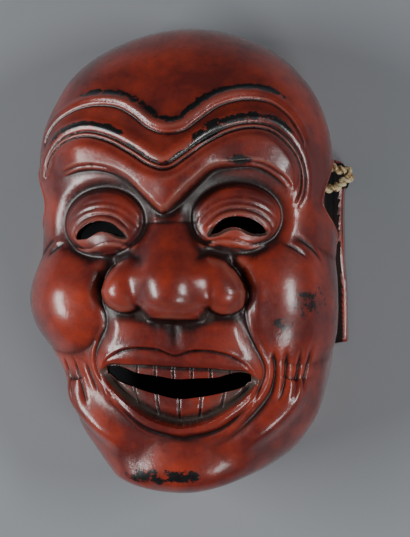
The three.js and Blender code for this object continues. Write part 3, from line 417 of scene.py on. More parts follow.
def outside(place, line, reach):
    """Distance from a closed line, negative inside it, by the even-odd count of crossings."""
    x, y = place[..., 0], place[..., 1]
    odd = np.zeros(x.shape, bool)
    for (x0, y0, _), (x1, y1, _) in zip(line[:-1], line[1:]):
        if y0 != y1:
            odd ^= ((y0 > y) != (y1 > y)) & (x < x0 + (y - y0) * (x1 - x0) / (y1 - y0))
    return np.abs(beside(place, line, reach)[0]) * np.where(odd, -1, 1)


def boss(x, y, at, size, height, power):
    """A round boss: height times (1 - distance as a share of its half sizes, squared) to a power."""
    q = ((x - at[0]) / size[0]) ** 2 + ((y - at[1]) / size[1]) ** 2
    return height * np.clip(1 - q, 0, 1) ** power


def bell(x, y, at, size, height):
    """A bell about a place, which has no edge: height times e to the minus distance squared, the distance
    as a share of its widths."""
    return height * hump(np.hypot((x - at[0]) / size[0], (y - at[1]) / size[1]), 1)


def above(x, y, knots):
    """Distance above a line drawn as heights over x, and that line's height."""
    both = [(-knots[1][0], knots[1][1])] + knots
    level = through(x, both)
    slope = through(x + 0.5, both) - through(x - 0.5, both)
    return (y - level) / np.hypot(1, slope), level


# Big forms. A boss is its middle, half sizes, height and power: the smaller the power, the fuller it is.
# A bell is its middle, widths and height.
BEND_LEVEL, BEND_LENGTH, BEND_MIDDLE, BEND_SWAY, BEND_TWIST, BEND_TILT = -20, 25, 0.5, 2.3, 0.0435, 0.0085
CHEEK = ((62, -21), (28, 30), 7.6, 1.15)
CHEEK_BELL = ((60, -20), (22, 24), 1.8)
CHEEK_LEVELS = (12, 42)  # the cheeks rise out of the side wall between these heights
CHIN = ((0, -108), (24, 15), 2.5, 1.2)
BROW_SWELL = 4.2
BROW_BELLS = [((1, 50), (21, 23), 5.0), ((4, 37), (8, 8), 1.8), ((18, 53), (8, 9), 1.6)]
SOCKET_DEPTH = 2.3
EYEBALL_RISE, EYEBALL_POWER = 6.0, 0.75
NOSE_ASIDE = 1.2  # the nose stands this far to one side of the face's middle line
NOSE_TIP_POWER, NOSE_BRIDGE_POWER = 0.8, 1.35
WING_AT, WING_WIDTH, WING_ABOVE, WING_BELOW, WING_LEAN = (25.6, -15), 13.2, 19, 12.5, 0.3
WING_RISE, WING_POWER = 11.6, 0.7
NOSE_SKIRT, NOSE_SKIRT_WIDTH = 6, 26
NOSTRIL = ((17, -29), (4.5, 4.5), 0.6)
MUZZLE_RISE, MUZZLE_REACH = 2.2, 48
MUZZLE_SIDE = ((22, -38), (14, 12), 1.0, 1.2)
JAW_RISE, JAW_WIDTH = 5.4, 7.5

# Cross-sections of the carved lines, as bells beside the line: (height, distance from it, width), and for
# some the stretch of the line that the bell covers: shares (from, full, until, end)
FOREHEAD_ROLL, FOREHEAD_LINE = [(2.2, 3.1, 2.8)], [(0.4, 0.3, 0.6), (-0.5, -0.9, 0.7)]
BROW_ROLL = [(1.9, 4.6, 3.2)]
BROW_LINE = [(0.75, 0, 0.8), (-0.55, 1.4, 0.6), (-0.5, -1.3, 0.6), (0.5, -2.6, 1.1)]
CRESCENT = [(0.7, 0.2, 0.8), (-0.6, 1.7, 0.7)]
CRESCENT_STRETCHES = [(0.02, 0.08, 0.18, 0.26), (0.74, 0.8, 0.9, 0.96)]
EYE_RING_LINE = [(0.3, 0, 0.7), (-0.25, -1.6, 1.2), (-0.3, 1.5, 0.9)]
LID_FOLDS = [(3.6, 0.5), (7.0, 0.3), (10.2, 0.22)]  # distance over the opening, and depth
LID_FOLD = [(0.5, 1.5, 1), (-1, 0, 0.85)]
UPPER_LID_EDGE = [(0.9, 1.5, 1.1)]
LOWER_LID_STEP = 2.2
LOWER_LID_LINE = [(0.7, -2, 1.3), (-0.6, 0, 0.7)]
CREASE = [(0.35, 2.6, 1.5), (-1, 0, 1)]
TEMPLE_DEPTH, CHEEK_DEPTH = 0.6, 0.85
PHILTRUM = [(0.35, 6, 2.5), (-1.1, 0, 3.2)]
# The smile fold's bells have a height on the mask's left and another on its right
SMILE_GROOVE = [(-2.4, -3.2, 1.0, 3.6, (0, 0.05, 0.2, 0.4))]
SMILE_LINES = [(-0.45, -0.45, 0, 1.1, (0, 0.06, 0.95, 1)), (-0.9, -0.9, 0, 1.1, (0, 0.06, 0.2, 0.4)),
               (1.4, 0.4, 5.2, 3.6, (0, 0.08, 0.3, 0.5)), (0.45, 0.45, 1.9, 0.9, (0.25, 0.35, 0.9, 0.98)),
               (0.9, 0, 3.0, 1.8, (0.55, 0.7, 0.86, 0.97)), (-0.9, 0, 7.0, 1.9, (0.55, 0.7, 0.86, 0.97)),
               (-0.5, -0.5, 0, 2.6, (0.86, 0.94, 1, 1.1))]

# Lips and teeth
LIP_SKIN = [(0.6, 0.7, 0.9)]
LOWER_LIP, LOWER_LIP_LINE = [(3.2, -3.0, 2.6)], [(0.4, -0.6, 0.6)]
LIP_STEP, LIP_ROLL, TEETH_STEP, TEETH_SWELL, GUM_STEP, TEETH_BULGE = 2.0, 1.9, 2.2, 0.7, 6.5, 6.4
TOOTH_GAP, TOOTH_GAP_WIDTH = 1.0, 0.6
UPPER_TOOTH, UPPER_TEETH_ASIDE, UPPER_TEETH_REACH = 10, 2, 36
LOWER_TOOTH_GAPS, TEETH_FAN = (0, 10.5, 20.5, 28.5), 0.012
MOUTH_SPLIT = 1.5  # the upper and lower forms change over this far each side of the opening's middle
MOUTH_REACH = (42.5, 37)  # the lips' carving ends and is full at these places


def face_own(x, y):
    """Place on the face's own bent middle line: brow and mouth lie to opposite sides of it and tilt
    against each other."""
    turn = np.tanh((y - BEND_LEVEL) / BEND_LENGTH)
    return x - (BEND_MIDDLE - BEND_SWAY * turn), y - (BEND_TWIST * turn - BEND_TILT) * x


def face_halves(place):
    """Across and y on the face, across without its sign, and the place moved to the left half."""
    across, y = face_own(place[..., 0], place[..., 1])
    x = np.abs(across)
    return across, y, x, np.stack([x, y, place[..., 2]], -1)


def stretch(share, span):
    """0 up to the span's first share of a line, 1 from its second to its third, and 0 past its fourth."""
    return ease(span[0], span[1], share) * ease(span[3], span[2], share)


def profile(off, bells):
    """Sum of the bells beside a line, at a distance from it."""
    return sum(height * hump(off - at, width) for height, at, width in bells)


def smile_relief(across, off, share, bells):
    """Sum of the smile fold's bells, each over its stretch, with the height that its side has."""
    left = ease(0, 10, across)
    return sum((on_right + (on_left - on_right) * left) * hump(off - at, width) * stretch(share, span)
               for on_left, on_right, at, width, span in bells)


def nearest_smile(place):
    """Distance of each place from the nearer smile fold, positive on the cheek's side, and the share."""
    left, left_share = beside(place, drawn(SMILE_LEFT), 18)
    right, right_share = beside(place, drawn(SMILE_RIGHT), 18)
    nearer = np.abs(left) < np.abs(right)
    return np.where(nearer, left, -right), np.where(nearer, left_share, right_share)


def inside_ring(x, y):
    """Distance from the middle of the eye's oval ring as a share of it, and distance inside the ring."""
    ring_x, ring_y = (x - EYE_RING[0]) / EYE_RING[2], (y - EYE_RING[1]) / EYE_RING[3]
    ring = np.hypot(ring_x, ring_y)
    slope = np.maximum(np.hypot(ring_x / EYE_RING[2], ring_y / EYE_RING[3]), 1e-6)
    return ring, (1 - ring) * ring / slope


def over_opening(x, y):
    """Level over an eye opening's corners, in steps of 6 mm, a little higher towards the temple."""
    return (y - 15) / 6 + (x - EYE_RING[0]) / 60


def nose_form(across, y):
    """One broad bulb that grows out of its bridge, with a wing melted into each side, over a low skirt.
    Two forms a and b are joined as the root of a to a power plus b to that power."""
    nose_x = across - NOSE_ASIDE
    power = NOSE_TIP_POWER + (NOSE_BRIDGE_POWER - NOSE_TIP_POWER) * ease(-8, 10, y)
    middle = through(y, NOSE_HEIGHT) * np.clip(1 - (nose_x / through(y, NOSE_WIDTH)) ** 2, 0, 1) ** power
    over = y - WING_AT[1]
    wing_x = (np.abs(nose_x) - WING_AT[0] + WING_LEAN * np.maximum(over, 0)) / WING_WIDTH
    wing_y = over / np.where(over > 0, WING_ABOVE, WING_BELOW)
    wing = WING_RISE * np.clip(1 - wing_x ** 2 - wing_y ** 2, 0, 1) ** WING_POWER
    nose = (middle ** 2.3 + wing ** 2.3) ** (1 / 2.3)
    skirt = NOSE_SKIRT * hump(across, NOSE_SKIRT_WIDTH) * ease(24, 4, y) * ease(-30, -20, y)
    return (nose ** 3 + skirt ** 3) ** (1 / 3)


def big_forms(place, across, y, brow, edge, smile):
    """Cheeks, chin, brow mass, sockets with a ball in each, nose, muzzle, and the rolls of the jaw."""
    x = np.abs(across)
    height = (bell(x, y, *CHEEK_BELL) + boss(x, y, *CHEEK)) * ease(*CHEEK_LEVELS, place[..., 2])
    height += boss(x, y, *CHIN)
    swell = BROW_SWELL * ease(0.5, -7, brow[0]) * ease(-1.5, 3.5, edge[0])
    height += swell * stretch(edge[1], (0, 0.12, 0.88, 1)) * stretch(brow[1], (0, 0.08, 0.92, 1))
    over_edge = ease(-1.5, 4, np.where(edge[0] > 90, 90 * (y > 24), edge[0]))
    height += sum(bell(across, y, *shape) for shape in BROW_BELLS) * over_edge
    ring, inside = inside_ring(x, y)
    height -= SOCKET_DEPTH * ease(-8.0, -0.5, inside)
    height += EYEBALL_RISE * np.clip(1 - ring ** 2, 0, 1) ** EYEBALL_POWER
    height += nose_form(across, y)
    muzzle = ease(0.5, -8, np.where(np.abs(smile[0]) > 90, -99, smile[0])) * (x < MUZZLE_REACH)
    height += MUZZLE_RISE * muzzle * ease(-24, -34, y) * ease(-96, -90, y) + boss(x, y, *MUZZLE_SIDE)
    height += smile_relief(across, *smile, SMILE_GROOVE)
    for knots in JAW_ROLLS:
        off, share = beside(place, drawn(knots), 16)
        height += JAW_RISE * hump(off, JAW_WIDTH) * stretch(share, (0, 0.35, 0.6, 1))
    return height


def ridges(place, brow, edge):
    """The forehead and brow ridges, each a roll above a fine line that is lower towards its ends, and the
    crescents on the brow's edge over the sockets."""
    off, share = beside(place, drawn(FOREHEAD_RIDGE), 16)
    roll = profile(off, FOREHEAD_ROLL) * (0.35 + 0.65 * stretch(share, (0.14, 0.3, 0.7, 0.86)))
    height = stretch(share, (0, 0.06, 0.94, 1)) * (roll + profile(off, FOREHEAD_LINE))
    off, share = brow
    roll = profile(off, BROW_ROLL) * (0.4 + 0.6 * stretch(share, (0.1, 0.25, 0.7, 0.9)))
    height += stretch(share, (0, 0.04, 0.95, 1)) * (roll + profile(off, BROW_LINE))
    covered = sum(stretch(edge[1], span) for span in CRESCENT_STRETCHES)
    return height + covered * profile(edge[0], CRESCENT)


def lids(front, x, y):
    """A bead round each eyeball, folds over the opening, a soft rim round it, and the lower lid."""
    inside = inside_ring(x, y)[1]
    opening = outside(front, drawn(EYE_OPENING + EYE_OPENING[:1]), 16)
    upper = ease(-0.1, 0.5, over_opening(x, y))
    height = profile(inside, EYE_RING_LINE)
    for fold, depth in LID_FOLDS:
        height += depth * profile(opening - fold, LID_FOLD) * upper * ease(1, 2.5, inside)
    height += profile(opening, UPPER_LID_EDGE) * upper
    height -= LOWER_LID_STEP * ease(1.7, 0.2, opening) * (1 - upper)
    off, share = beside(front, drawn(LOWER_LID), 6)
    return height + profile(off, LOWER_LID_LINE) * stretch(share, (0, 0.15, 0.85, 1))


def folds(place, across, y, smile):
    """The smile folds, nostrils, the line over the nose's bridge, the philtrum, and the creases."""
    x = np.abs(across)
    height = smile_relief(across, *smile, SMILE_LINES) - bell(np.abs(across - NOSE_ASIDE), y, *NOSTRIL)
    height -= 0.3 * hump(y - 20.5, 0.9) * ease(17, 10, x)
    height += profile(x, PHILTRUM) * ease(-47, -41, y) * ease(-27, -34, y)
    for lines, depth in ((TEMPLE_CREASES, TEMPLE_DEPTH), (CHEEK_CREASES, CHEEK_DEPTH)):
        for knots in lines:
            off, share = beside(place, drawn(knots), 5)
            height += depth * profile(np.abs(off), CREASE) * stretch(share, (0, 0.25, 0.65, 1))
    return height


def mouth(across, y):
    """Each lip is a roll between two steps, and the teeth are low cushions parted by grooves. The upper
    and lower halves are worked out on their own and meet in the opening."""
    x = np.abs(across)
    (top, top_at), (rim, rim_at), (_, gap_at), (_, foot_at), (gum, gum_at) = (
        above(x, y, line) for line in (LIP_TOP, LIP_EDGE, OPEN_TOP, OPEN_FOOT, TEETH_FOOT))
    in_lip = np.clip(-4 * top * rim / np.maximum((top_at - rim_at) ** 2, 1), 0, 1) * (top < 0) * (rim > 0)
    upper = profile(top, LIP_SKIN) - LIP_STEP * ease(0.3, -1.0, top) + LIP_ROLL * in_lip
    upper += TEETH_SWELL * ease(-1.0, -3.0, rim) - TEETH_STEP * ease(0.2, -0.8, rim)
    tooth = (across + UPPER_TEETH_ASIDE) / UPPER_TOOTH
    parted = np.abs(tooth - np.round(tooth)) * UPPER_TOOTH
    upper -= TOOTH_GAP * hump(parted, TOOTH_GAP_WIDTH) * ease(0, -0.8, rim) * (x < UPPER_TEETH_REACH)
    lower = profile(gum, LOWER_LIP) * (1 - 0.3 * ease(20, 36, x)) + profile(gum, LOWER_LIP_LINE)
    lower -= GUM_STEP * ease(-0.6, 0.5, gum)
    tooth = np.clip(gum / np.maximum(foot_at - gum_at, 1), 0, 1)
    lower += TEETH_BULGE * tooth * (1 - tooth)
    fan = x / (1 + TEETH_FAN * (y - TEETH_FOOT[0][1]))
    parted = np.minimum.reduce([np.abs(fan - gap) for gap in LOWER_TOOTH_GAPS])
    lower -= TOOTH_GAP * hump(parted, TOOTH_GAP_WIDTH) * ease(0.3, 1.2, gum)
    share = ease(-MOUTH_SPLIT, MOUTH_SPLIT, y - (gap_at + foot_at) / 2)
    return ease(*MOUTH_REACH, x) * (lower * (1 - share) + upper * share)


def carving(place):
    """Heights of the carving over the plain shell: the big forms, and the finer relief."""
    across, y, x, front = face_halves(place)
    brow, edge = (beside(place, drawn(line), 26) for line in (BROW_RIDGE, BROW_EDGE))
    smile = nearest_smile(place)
    fine = ridges(place, brow, edge) + lids(front, x, y) + folds(place, across, y, smile)
    return big_forms(place, across, y, brow, edge, smile), fine + mouth(across, y)


# Ears: long and flat, carved in one with the side walls. Each is a straight flange that stands out behind
# a boat-shaped hollow and a long ditch, both black, partly as lacquer and partly as painted shade, with the
# cord's slot at the top of the hollow.
# A box is drawn on the wall as Y from and to, Z from and to, and its corners' radius.
EAR_FLANGE = (-44, 56, 3.5, 15, 3.5)
EAR_REACH = [(-45, 84.4), (-15, 83.9), (5, 82.6), (39, 82.6), (43, 85.5), (46.5, 86.3), (50, 84), (56, 79.5)]
EAR_DITCH = (-46, 16, 15.5, 20.5, 2.4)
HOLLOW_FRONT = [(8, 20), (11, 28), (15.5, 38), (21, 48), (28, 56), (36, 56), (45, 50), (53, 40)]
HOLLOW_BACK, HOLLOW_ENDS = 16, (9, 53)
CORD_SLOT = (36.6, 54.6, 32, 40, 3.4)
EAR_CUT = 5.0  # how deep the hollow and the ditch are
EAR_MOST = 9  # the most that the flange is built up over the wall
EARS_FROM = 55  # nothing of the ears is nearer to the middle than this
HOLLOW_RIM = 0.7
# Black on the ears, partly lacquer and partly painted shade: the flange's inner edge, and its end at the top
# of the ear
BLACK_BACK = (-46, 53, 12.6, 21.5, 2)  # the flange's inner edge, and its end at the top of the ear
BLACK_END = (40.5, 54, 2, 24, 2)


def rounded_box(y, z, box):
    """Distance out of a box with round corners on the wall."""
    y0, y1, z0, z1, radius = box
    far_y = np.abs(y - (y0 + y1) / 2) - (y1 - y0) / 2 + radius
    far_z = np.abs(z - (z0 + z1) / 2) - (z1 - z0) / 2 + radius
    inside = np.minimum(np.maximum(far_y, far_z), 0)
    return np.hypot(np.maximum(far_y, 0), np.maximum(far_z, 0)) + inside - radius


def ear_hollow(y, z):
    """Distance out of the boat-shaped hollow, between its straight back and its curved front edge."""
    ends = np.maximum(HOLLOW_ENDS[0] - y, y - HOLLOW_ENDS[1])
    return np.maximum(np.maximum(z - through(y, HOLLOW_FRONT), HOLLOW_BACK - z), ends)


def ear(place, normal):
    """Height of the ear over the side wall: a flange that reaches out to a set distance from the middle,
    less the hollow and the ditch before it."""
    x, y, z = np.abs(place[..., 0]), place[..., 1], place[..., 2]
    straight = np.maximum(np.abs(normal[..., 0]), 0.5)
    proud = np.clip((through(y, EAR_REACH) + (place[..., 0] < 0) - x) / straight, 1, EAR_MOST)
    height = proud * ease(0.6, -1.6, rounded_box(y, z, EAR_FLANGE))
    hollow = ear_hollow(y, z)
    height += HOLLOW_RIM * hump(hollow - 0.9, 0.8) * ease(22, 26, z)
    cut = np.minimum(hollow, rounded_box(y, z, EAR_DITCH))
    height -= EAR_CUT * ease(0.5, -2.0, cut)
    return height * ease(0.3, 0.6, straight) * (x > EARS_FROM)


def softened(field, reach):
    """Mean of the field over squares of 2 reach + 1 cells, from running sums, taken twice."""
    for axis in (0, 1, 0, 1):
        pad = [(reach + 1, reach) if k == axis else (0, 0) for k in (0, 1)]
        sums = np.cumsum(np.pad(field, pad, mode="edge"), axis=axis)
        width = 2 * reach + 1
        field = (np.take(sums, range(width, sums.shape[axis]), axis)
                 - np.take(sums, range(sums.shape[axis] - width), axis)) / width
    return field


def square(size):
    """Two grids, of a and of b, from -1 to 1 in that many steps."""
    step = np.linspace(-1, 1, size + 1)
    return np.meshgrid(step, step, indexing="ij")


def kept_error(points):
    """For each point of the grid, how far it strays from the middle of the edge that it would split, or
    the most that any point does that hangs on it."""
    last = len(points) - 1
    error = np.zeros(points.shape[:2])

    def stray(i, j, di, dj):
        """How far the points i, j lie from the middle of the edge from i - di, j - dj to i + di, j + dj."""
        middle = (points[i - di, j - dj] + points[i + di, j + dj]) / 2
        return np.linalg.norm(points[i, j] - middle, axis=-1)

    span = 2
    while span <= last:
        half, quarter = span // 2, span // 4
        odd, even = np.arange(half, last, span), np.arange(0, last + 1, span)
        for first, second, di, dj in ((odd, even, half, 0), (even, odd, 0, half)):
            i, j = np.meshgrid(first, second, indexing="ij")
            worst = stray(i, j, di, dj)
            for p, q in ((-1, -1), (-1, 1), (1, -1), (1, 1)) if span > 2 else ():
                r, s = i + p * quarter, j + q * quarter
                held = (r >= 0) & (r <= last) & (s >= 0) & (s <= last)
                below = error[np.clip(r, 0, last), np.clip(s, 0, last)]
                worst = np.maximum(worst, np.where(held, below, 0))
            error[i, j] = worst
        i, j = np.meshgrid(odd, odd, indexing="ij")
        rising = (i // span + j // span) % 2 == 0
        worst = np.where(rising, stray(i, j, half, half), stray(i, j, half, -half))
        for p, q in ((half, 0), (-half, 0), (0, half), (0, -half)):
            worst = np.maximum(worst, error[i + p, j + q])
        error[i, j] = worst
        span *= 2
    return error


def sheet(points, tolerance, foot):
    """Triangles over a grid, halved again and again where the surface strays more than the tolerance,
    and closed by a fan to a point inside the rim. Returns points, faces and the grid places kept."""
    error, last = kept_error(points), len(points) - 1
    open_faces = np.array([[[last, last], [0, 0], [last, 0]], [[0, 0], [last, last], [0, last]]])
    done = []
    while len(open_faces):
        a, b, c = open_faces[:, 0], open_faces[:, 1], open_faces[:, 2]
        middle = (a + b) // 2
        split = (np.abs(a - b).max(1) > 1) & (error[middle[:, 0], middle[:, 1]] > tolerance)
        done.append(open_faces[~split])
        a, b, c, middle = a[split], b[split], c[split], middle[split]
        open_faces = np.concatenate([np.stack([c, a, middle], 1), np.stack([b, c, middle], 1)])
    done = np.concatenate(done)
    used, faces = np.unique(done[..., 0] * (last + 1) + done[..., 1], return_inverse=True)
    k = np.arange(last)
    edge = np.concatenate([k * (last + 1), last * (last + 1) + k, (last - k) * (last + 1) + last, last - k])
    place = np.clip(np.searchsorted(used, edge), 0, len(used) - 1)
    ring = place[used[place] == edge]
    fan = np.stack([np.roll(ring, -1), ring, np.full(len(ring), len(used))], 1)
    shown = np.vstack([points.reshape(-1, 3)[used], [[0, RIM_MIDDLE, foot]]])
    return shown, np.vstack([faces.reshape(-1, 3), fan]), used


CARVED_LEVELS = (6, 24)  # the carving fades in above the rim, between these heights
INSIDE_SHARE = 0.55  # how much of the big forms is hollowed out behind
OUTER_STRAY, INNER_STRAY = 0.062, 0.08  # mm that a triangle's edge may stray from the surface
CUT_BELOW = -6.0  # the hollow runs on below the rim, so that it cuts clean

a, b = square(OUTER_GRID)
plain = shell(a, b, 0.0)
normal = outward(plain)
big, fine = carving(plain)
height = (big + fine) * ease(*CARVED_LEVELS, plain[..., 2]) + ear(plain, normal)
carved = plain + normal * height[..., None]
carved[..., 2] = np.maximum(carved[..., 2], 0)
outer_points, outer_faces, outer_used = sheet(carved, OUTER_STRAY, 0.0)

a, b = square(INNER_GRID)
lining = shell(a, b, CUT_BELOW)
hollow = lining + outward(lining) * (INSIDE_SHARE * carving(lining)[0] - WALL_THICK)[..., None]
inner_points, inner_faces, _ = sheet(hollow, INNER_STRAY, CUT_BELOW)


# Worn places: bells beside the two forehead ridges, each over a stretch of its line, and spots, as place,
# half sizes and how surely the red has gone
FOREHEAD_WEAR = [(0.95, 7.0, 2.3, (0.14, 0.24, 0.8, 0.9))]
BROW_WEAR = [(0.95, 5.4, 2.3, (0.1, 0.17, 0.3, 0.36)), (0.9, 5.2, 2.8, (0.58, 0.66, 0.78, 0.84)),
             (0.7, 2.2, 1.4, (0.3, 0.36, 0.6, 0.66))]
WORN_SPOTS = [((-77, -17), (5, 13), 0.75), ((66, -19), (11, 12), 0.6), ((54, -32), (7, 7), 0.5),
              ((16, 64), (9, 4), 0.6), ((35, 53), (8, 3.4), 0.85), ((-45, 51), (9, 1.6), 0.6),
              ((-14, -113), (17, 5), 0.85), ((8, -112), (9, 4), 0.7), ((24, 71), (14, 4), 0.5)]


def wear_and_ear_shade(place):
    """Where the red has gone through to the black beneath, from 0 to 2: in strips above the two forehead
    rolls, on the ball of each cheek, over the brow's edge and under the chin; and black all over the ears'
    hollows, partly lacquer and partly painted shade."""
    x, y, z = place[..., 0], place[..., 1], place[..., 2]
    # The ears' hollows: black all over, partly as lacquer and partly as painted shade
    black = 2 * ease(0.2, -1.5, ear_hollow(y, z)) * (np.abs(x) > EARS_FROM)
    for line, strips in ((FOREHEAD_RIDGE, FOREHEAD_WEAR), (BROW_RIDGE, BROW_WEAR)):
        off, share = beside(place, drawn(line), 16)
        black += sum(most * hump(off - at, width) * stretch(share, span) for most, at, width, span in strips)
    black += sum(bell(x, y, *spot) for spot in WORN_SPOTS) * (z > 20)
    return np.clip(black, 0, 2)


def dusty(place):
    """Where dust and grime lie, from 0 to 1: lower edges of the eye openings, nostrils, and the gaps and
    foot of the teeth, most of all in the mouth's corners."""
    across, y, x, front = face_halves(place)
    opening = outside(front, drawn(EYE_OPENING + EYE_OPENING[:1]), 6)
    dust = ease(1.9, 1.2, opening) * ease(0.5, -0.1, over_opening(x, y))
    gum, rim = above(x, y, TEETH_FOOT)[0], above(x, y, LIP_EDGE)[0]
    inside_mouth = ease(-0.8, 0.4, gum) * ease(0.6, -0.6, rim) * (x < 43)
    dust += inside_mouth * (0.3 + 0.6 * ease(14, 30, x)) + 0.5 * inside_mouth * hump(gum - 0.8, 1.2)
    dust += bell(np.abs(across - NOSE_ASIDE), y, (17, -28.5), (4.5, 4.5), 0.7)
    return np.clip(dust, 0, 1)


# Lacquer: wood primed with black and coated with red lacquer, polished, then handled for years. To the eye a
# deep orange red with a wet gloss, clouded with brown, with painted shade darkening the hollows, whose coat
# is duller, paler on edges that stand proud, partly thinned by handling and partly painted sheen, with black
# where the red has gone and grey grime in the mouth's corners.
RED_LIT, RED_DEEP, RED_PAINTED_SHADE, UNDER_BLACK = "#b23a20", "#681c16", "#1c0a09", "#0b0a0b"
RUBBED_SHEEN_PINK, DUST = "#a8685a", "#4d3f38"
CLOUD_SIZE, SPECK_SIZE, GRAIN_SIZE, FLAKE_SIZE = 33.333, 3.8462, 0.76923, 5.8824  # mm
lacquer, tree, surface = new_material("red_lacquer_over_black")
place = add(tree, "TexCoord").outputs["Object"]
painted_crease_shade, worn_and_ear_shade, rubbed_and_sheen, dust = (add(tree, "Attribute", attribute_name=name).outputs["Fac"]
                              for name in ("painted_crease_shade", "worn_and_ear_shade", "rubbed_and_sheen", "dust"))
speck = noise(tree, place, SPECK_SIZE, 6.0, 0.7)
tone = ranged(tree, noise(tree, place, CLOUD_SIZE, 5.0, 0.6), 0.4, 0.68)
base = blended(tree, tone, linear(RED_DEEP), RED_LIT)
base = blended(tree, ranged(tree, speck, 0.56, 0.7, 0.0, 0.5), base, RED_DEEP)
# Painted shade: darker red in the hollows, the deeper a place lies below its surroundings the darker
base = blended(tree, painted_crease_shade, base, RED_PAINTED_SHADE)
# Paler pink on edges that stand proud on the front: partly lacquer thinned by handling, partly painted sheen
base = blended(tree, rubbed_and_sheen, base, RUBBED_SHEEN_PINK)
# Black where the red has gone, and in the ears' hollows, where the black is partly painted shade
flake = ranged(tree, noise(tree, place, FLAKE_SIZE, 9.0, 0.75), 0.36, 0.64, 0.35, 1.65)
ragged = add(tree, "Math", {0: flake, 1: worn_and_ear_shade}, operation="MULTIPLY").outputs[0]
base = blended(tree, ranged(tree, ragged, 0.5, 0.6), base, UNDER_BLACK)
grime = ranged(tree, scaled_sum(tree, speck, 0.8, dust), 0.65, 1.3, 0.0, 0.8)
base = blended(tree, grime, base, DUST)
rough = scaled_sum(tree, grime, 0.4, ranged(tree, speck, 0.3, 0.75, 0.3, 0.5))
uneven = scaled_sum(tree, noise(tree, place, GRAIN_SIZE, 3.0), 0.25, speck)
bump = add(tree, "Bump", {"Height": uneven, "Strength": 0.3, "Distance": 0.0005}).outputs[0]
dulled = ranged(tree, scaled_sum(tree, painted_crease_shade, 1.2, rubbed_and_sheen), 0.05, 0.7, 1.0, 0.12)
for value, socket in ((base, "Base Color"), (rough, "Roughness"), (bump, "Normal"), (bump, "Coat Normal"),
                      (dulled, "Coat Weight")):
    tree.links.new(value, surface.inputs[socket])
surface.inputs["Coat Roughness"].default_value = 0.13

# Inside: tool-smooth wood under one thin coat of black lacquer, mat with age. Brown shows faintly through
# it in long clouds, and the gouge's last shallow marks catch the light.
WOOD_BROWN = "#2b1a14"
WOOD_CLOUD, GOUGE_MARK = 25, 9.091  # mm
black, tree, surface = new_material("black_lacquer_inside")
place = add(tree, "TexCoord").outputs["Object"]
tone = ranged(tree, noise(tree, place, WOOD_CLOUD, 4.0), 0.4, 0.75)
base = blended(tree, tone, linear(UNDER_BLACK), WOOD_BROWN)
gouge = add(tree, "TexVoronoi", {"Vector": place, "Scale": 1000 / GOUGE_MARK}, feature="SMOOTH_F1").outputs[0]
bump = add(tree, "Bump", {"Height": gouge, "Strength": 0.5, "Distance": 0.0008}).outputs[0]
tree.links.new(base, surface.inputs["Base Color"])
tree.links.new(bump, surface.inputs["Normal"])
surface.inputs["Roughness"].default_value = 0.7
surface.inputs["Specular IOR Level"].default_value = 0.2

mask = new_piece("carved_mask", outer_points, outer_faces.tolist(), lacquer, black)
inside = new_piece("hollow_cutter", inner_points, inner_faces.tolist(), black)
# What the material reads at each place: how deep it lies below its surroundings, which is painted as shade,
# how far an edge stands proud, painted paler as partly handled lacquer and partly sheen, where the red has
# gone, and where dust lies
sunk, deep = softened(height, 3) - height, softened(height, 14) - height
# Edges that stand proud on the front, above the mouth: painted paler, partly as handled lacquer and partly as
# sheen
raised = ease(0.08, 0.35, -sunk) * ease(20, 40, plain[..., 2]) * ease(-40, -34, plain[..., 1])
for name, values in (("painted_crease_shade", np.clip(1.6 * sunk + 0.62 * deep, 0, 0.97)), ("worn_and_ear_shade", wear_and_ear_shade(plain)),
                     ("rubbed_and_sheen", 0.5 * raised), ("dust", dusty(plain))):
    layer = mask.data.attributes.new(name, "FLOAT", "POINT")
    layer.data.foreach_set("value", np.append(values.reshape(-1)[outer_used], 0).astype(np.float32))
# The ears' hollows, the flange's inner edge and the top of the ear take the black inside lacquer, partly as
# painted shade
corners = outer_points[outer_faces].mean(1)
away, y, z = np.abs(corners[:, 0]), corners[:, 1], corners[:, 2]
in_hollow = np.minimum(ear_hollow(y, z), rounded_box(y, z, BLACK_BACK)) < 0.1
in_hollow &= away < through(y, EAR_REACH) - 2.0 * (y < 40)
in_hollow |= rounded_box(y, z, BLACK_END) < 0
mask.data.polygons.foreach_set("material_index", (in_hollow & (away > EARS_FROM)).astype(np.int32))


# Openings: the hollow behind, the eyes, the mouth and the two cord slots, each cut straight through the
# wood by a body of its own, which then goes
MOUTH_CORNER, MOUTH_STEPS = 38.4, 97
OPENING_FOOT, MOUTH_CLEAR, EYE_CLEAR = 12, 130, 115
SLOT_DEPTHS = (40, 110)
SHARP_ANGLE = math.radians(42)


def from_face(across, level):
    """The place on the mask for a place on the face's own middle line, by rounds of putting right."""
    x, y = across, level
    for _ in range(6):
        turn = np.tanh((y - BEND_LEVEL) / BEND_LENGTH)
        x = across + BEND_MIDDLE - BEND_SWAY * turn
        y = level + (BEND_TWIST * turn - BEND_TILT) * x
    return x, y


def cutting_bar(name, rings):
    """A bar between two rings of points, which run anticlockwise as seen from beyond the second."""
    n = len(rings[0])
    k = np.arange(n)
    ahead = (k + 1) % n
    faces = np.stack([k, ahead, ahead + n, k + n], 1).tolist() + [k[::-1].tolist(), (k + n).tolist()]
    return new_piece(name, np.vstack(rings), faces, black)


def upright_bar(name, x, y, top):
    """A bar through a closed outline, from inside the hollow to a height over the face."""
    return cutting_bar(name, [np.column_stack([x, y, np.full(len(x), z)]) for z in (OPENING_FOOT, top)])


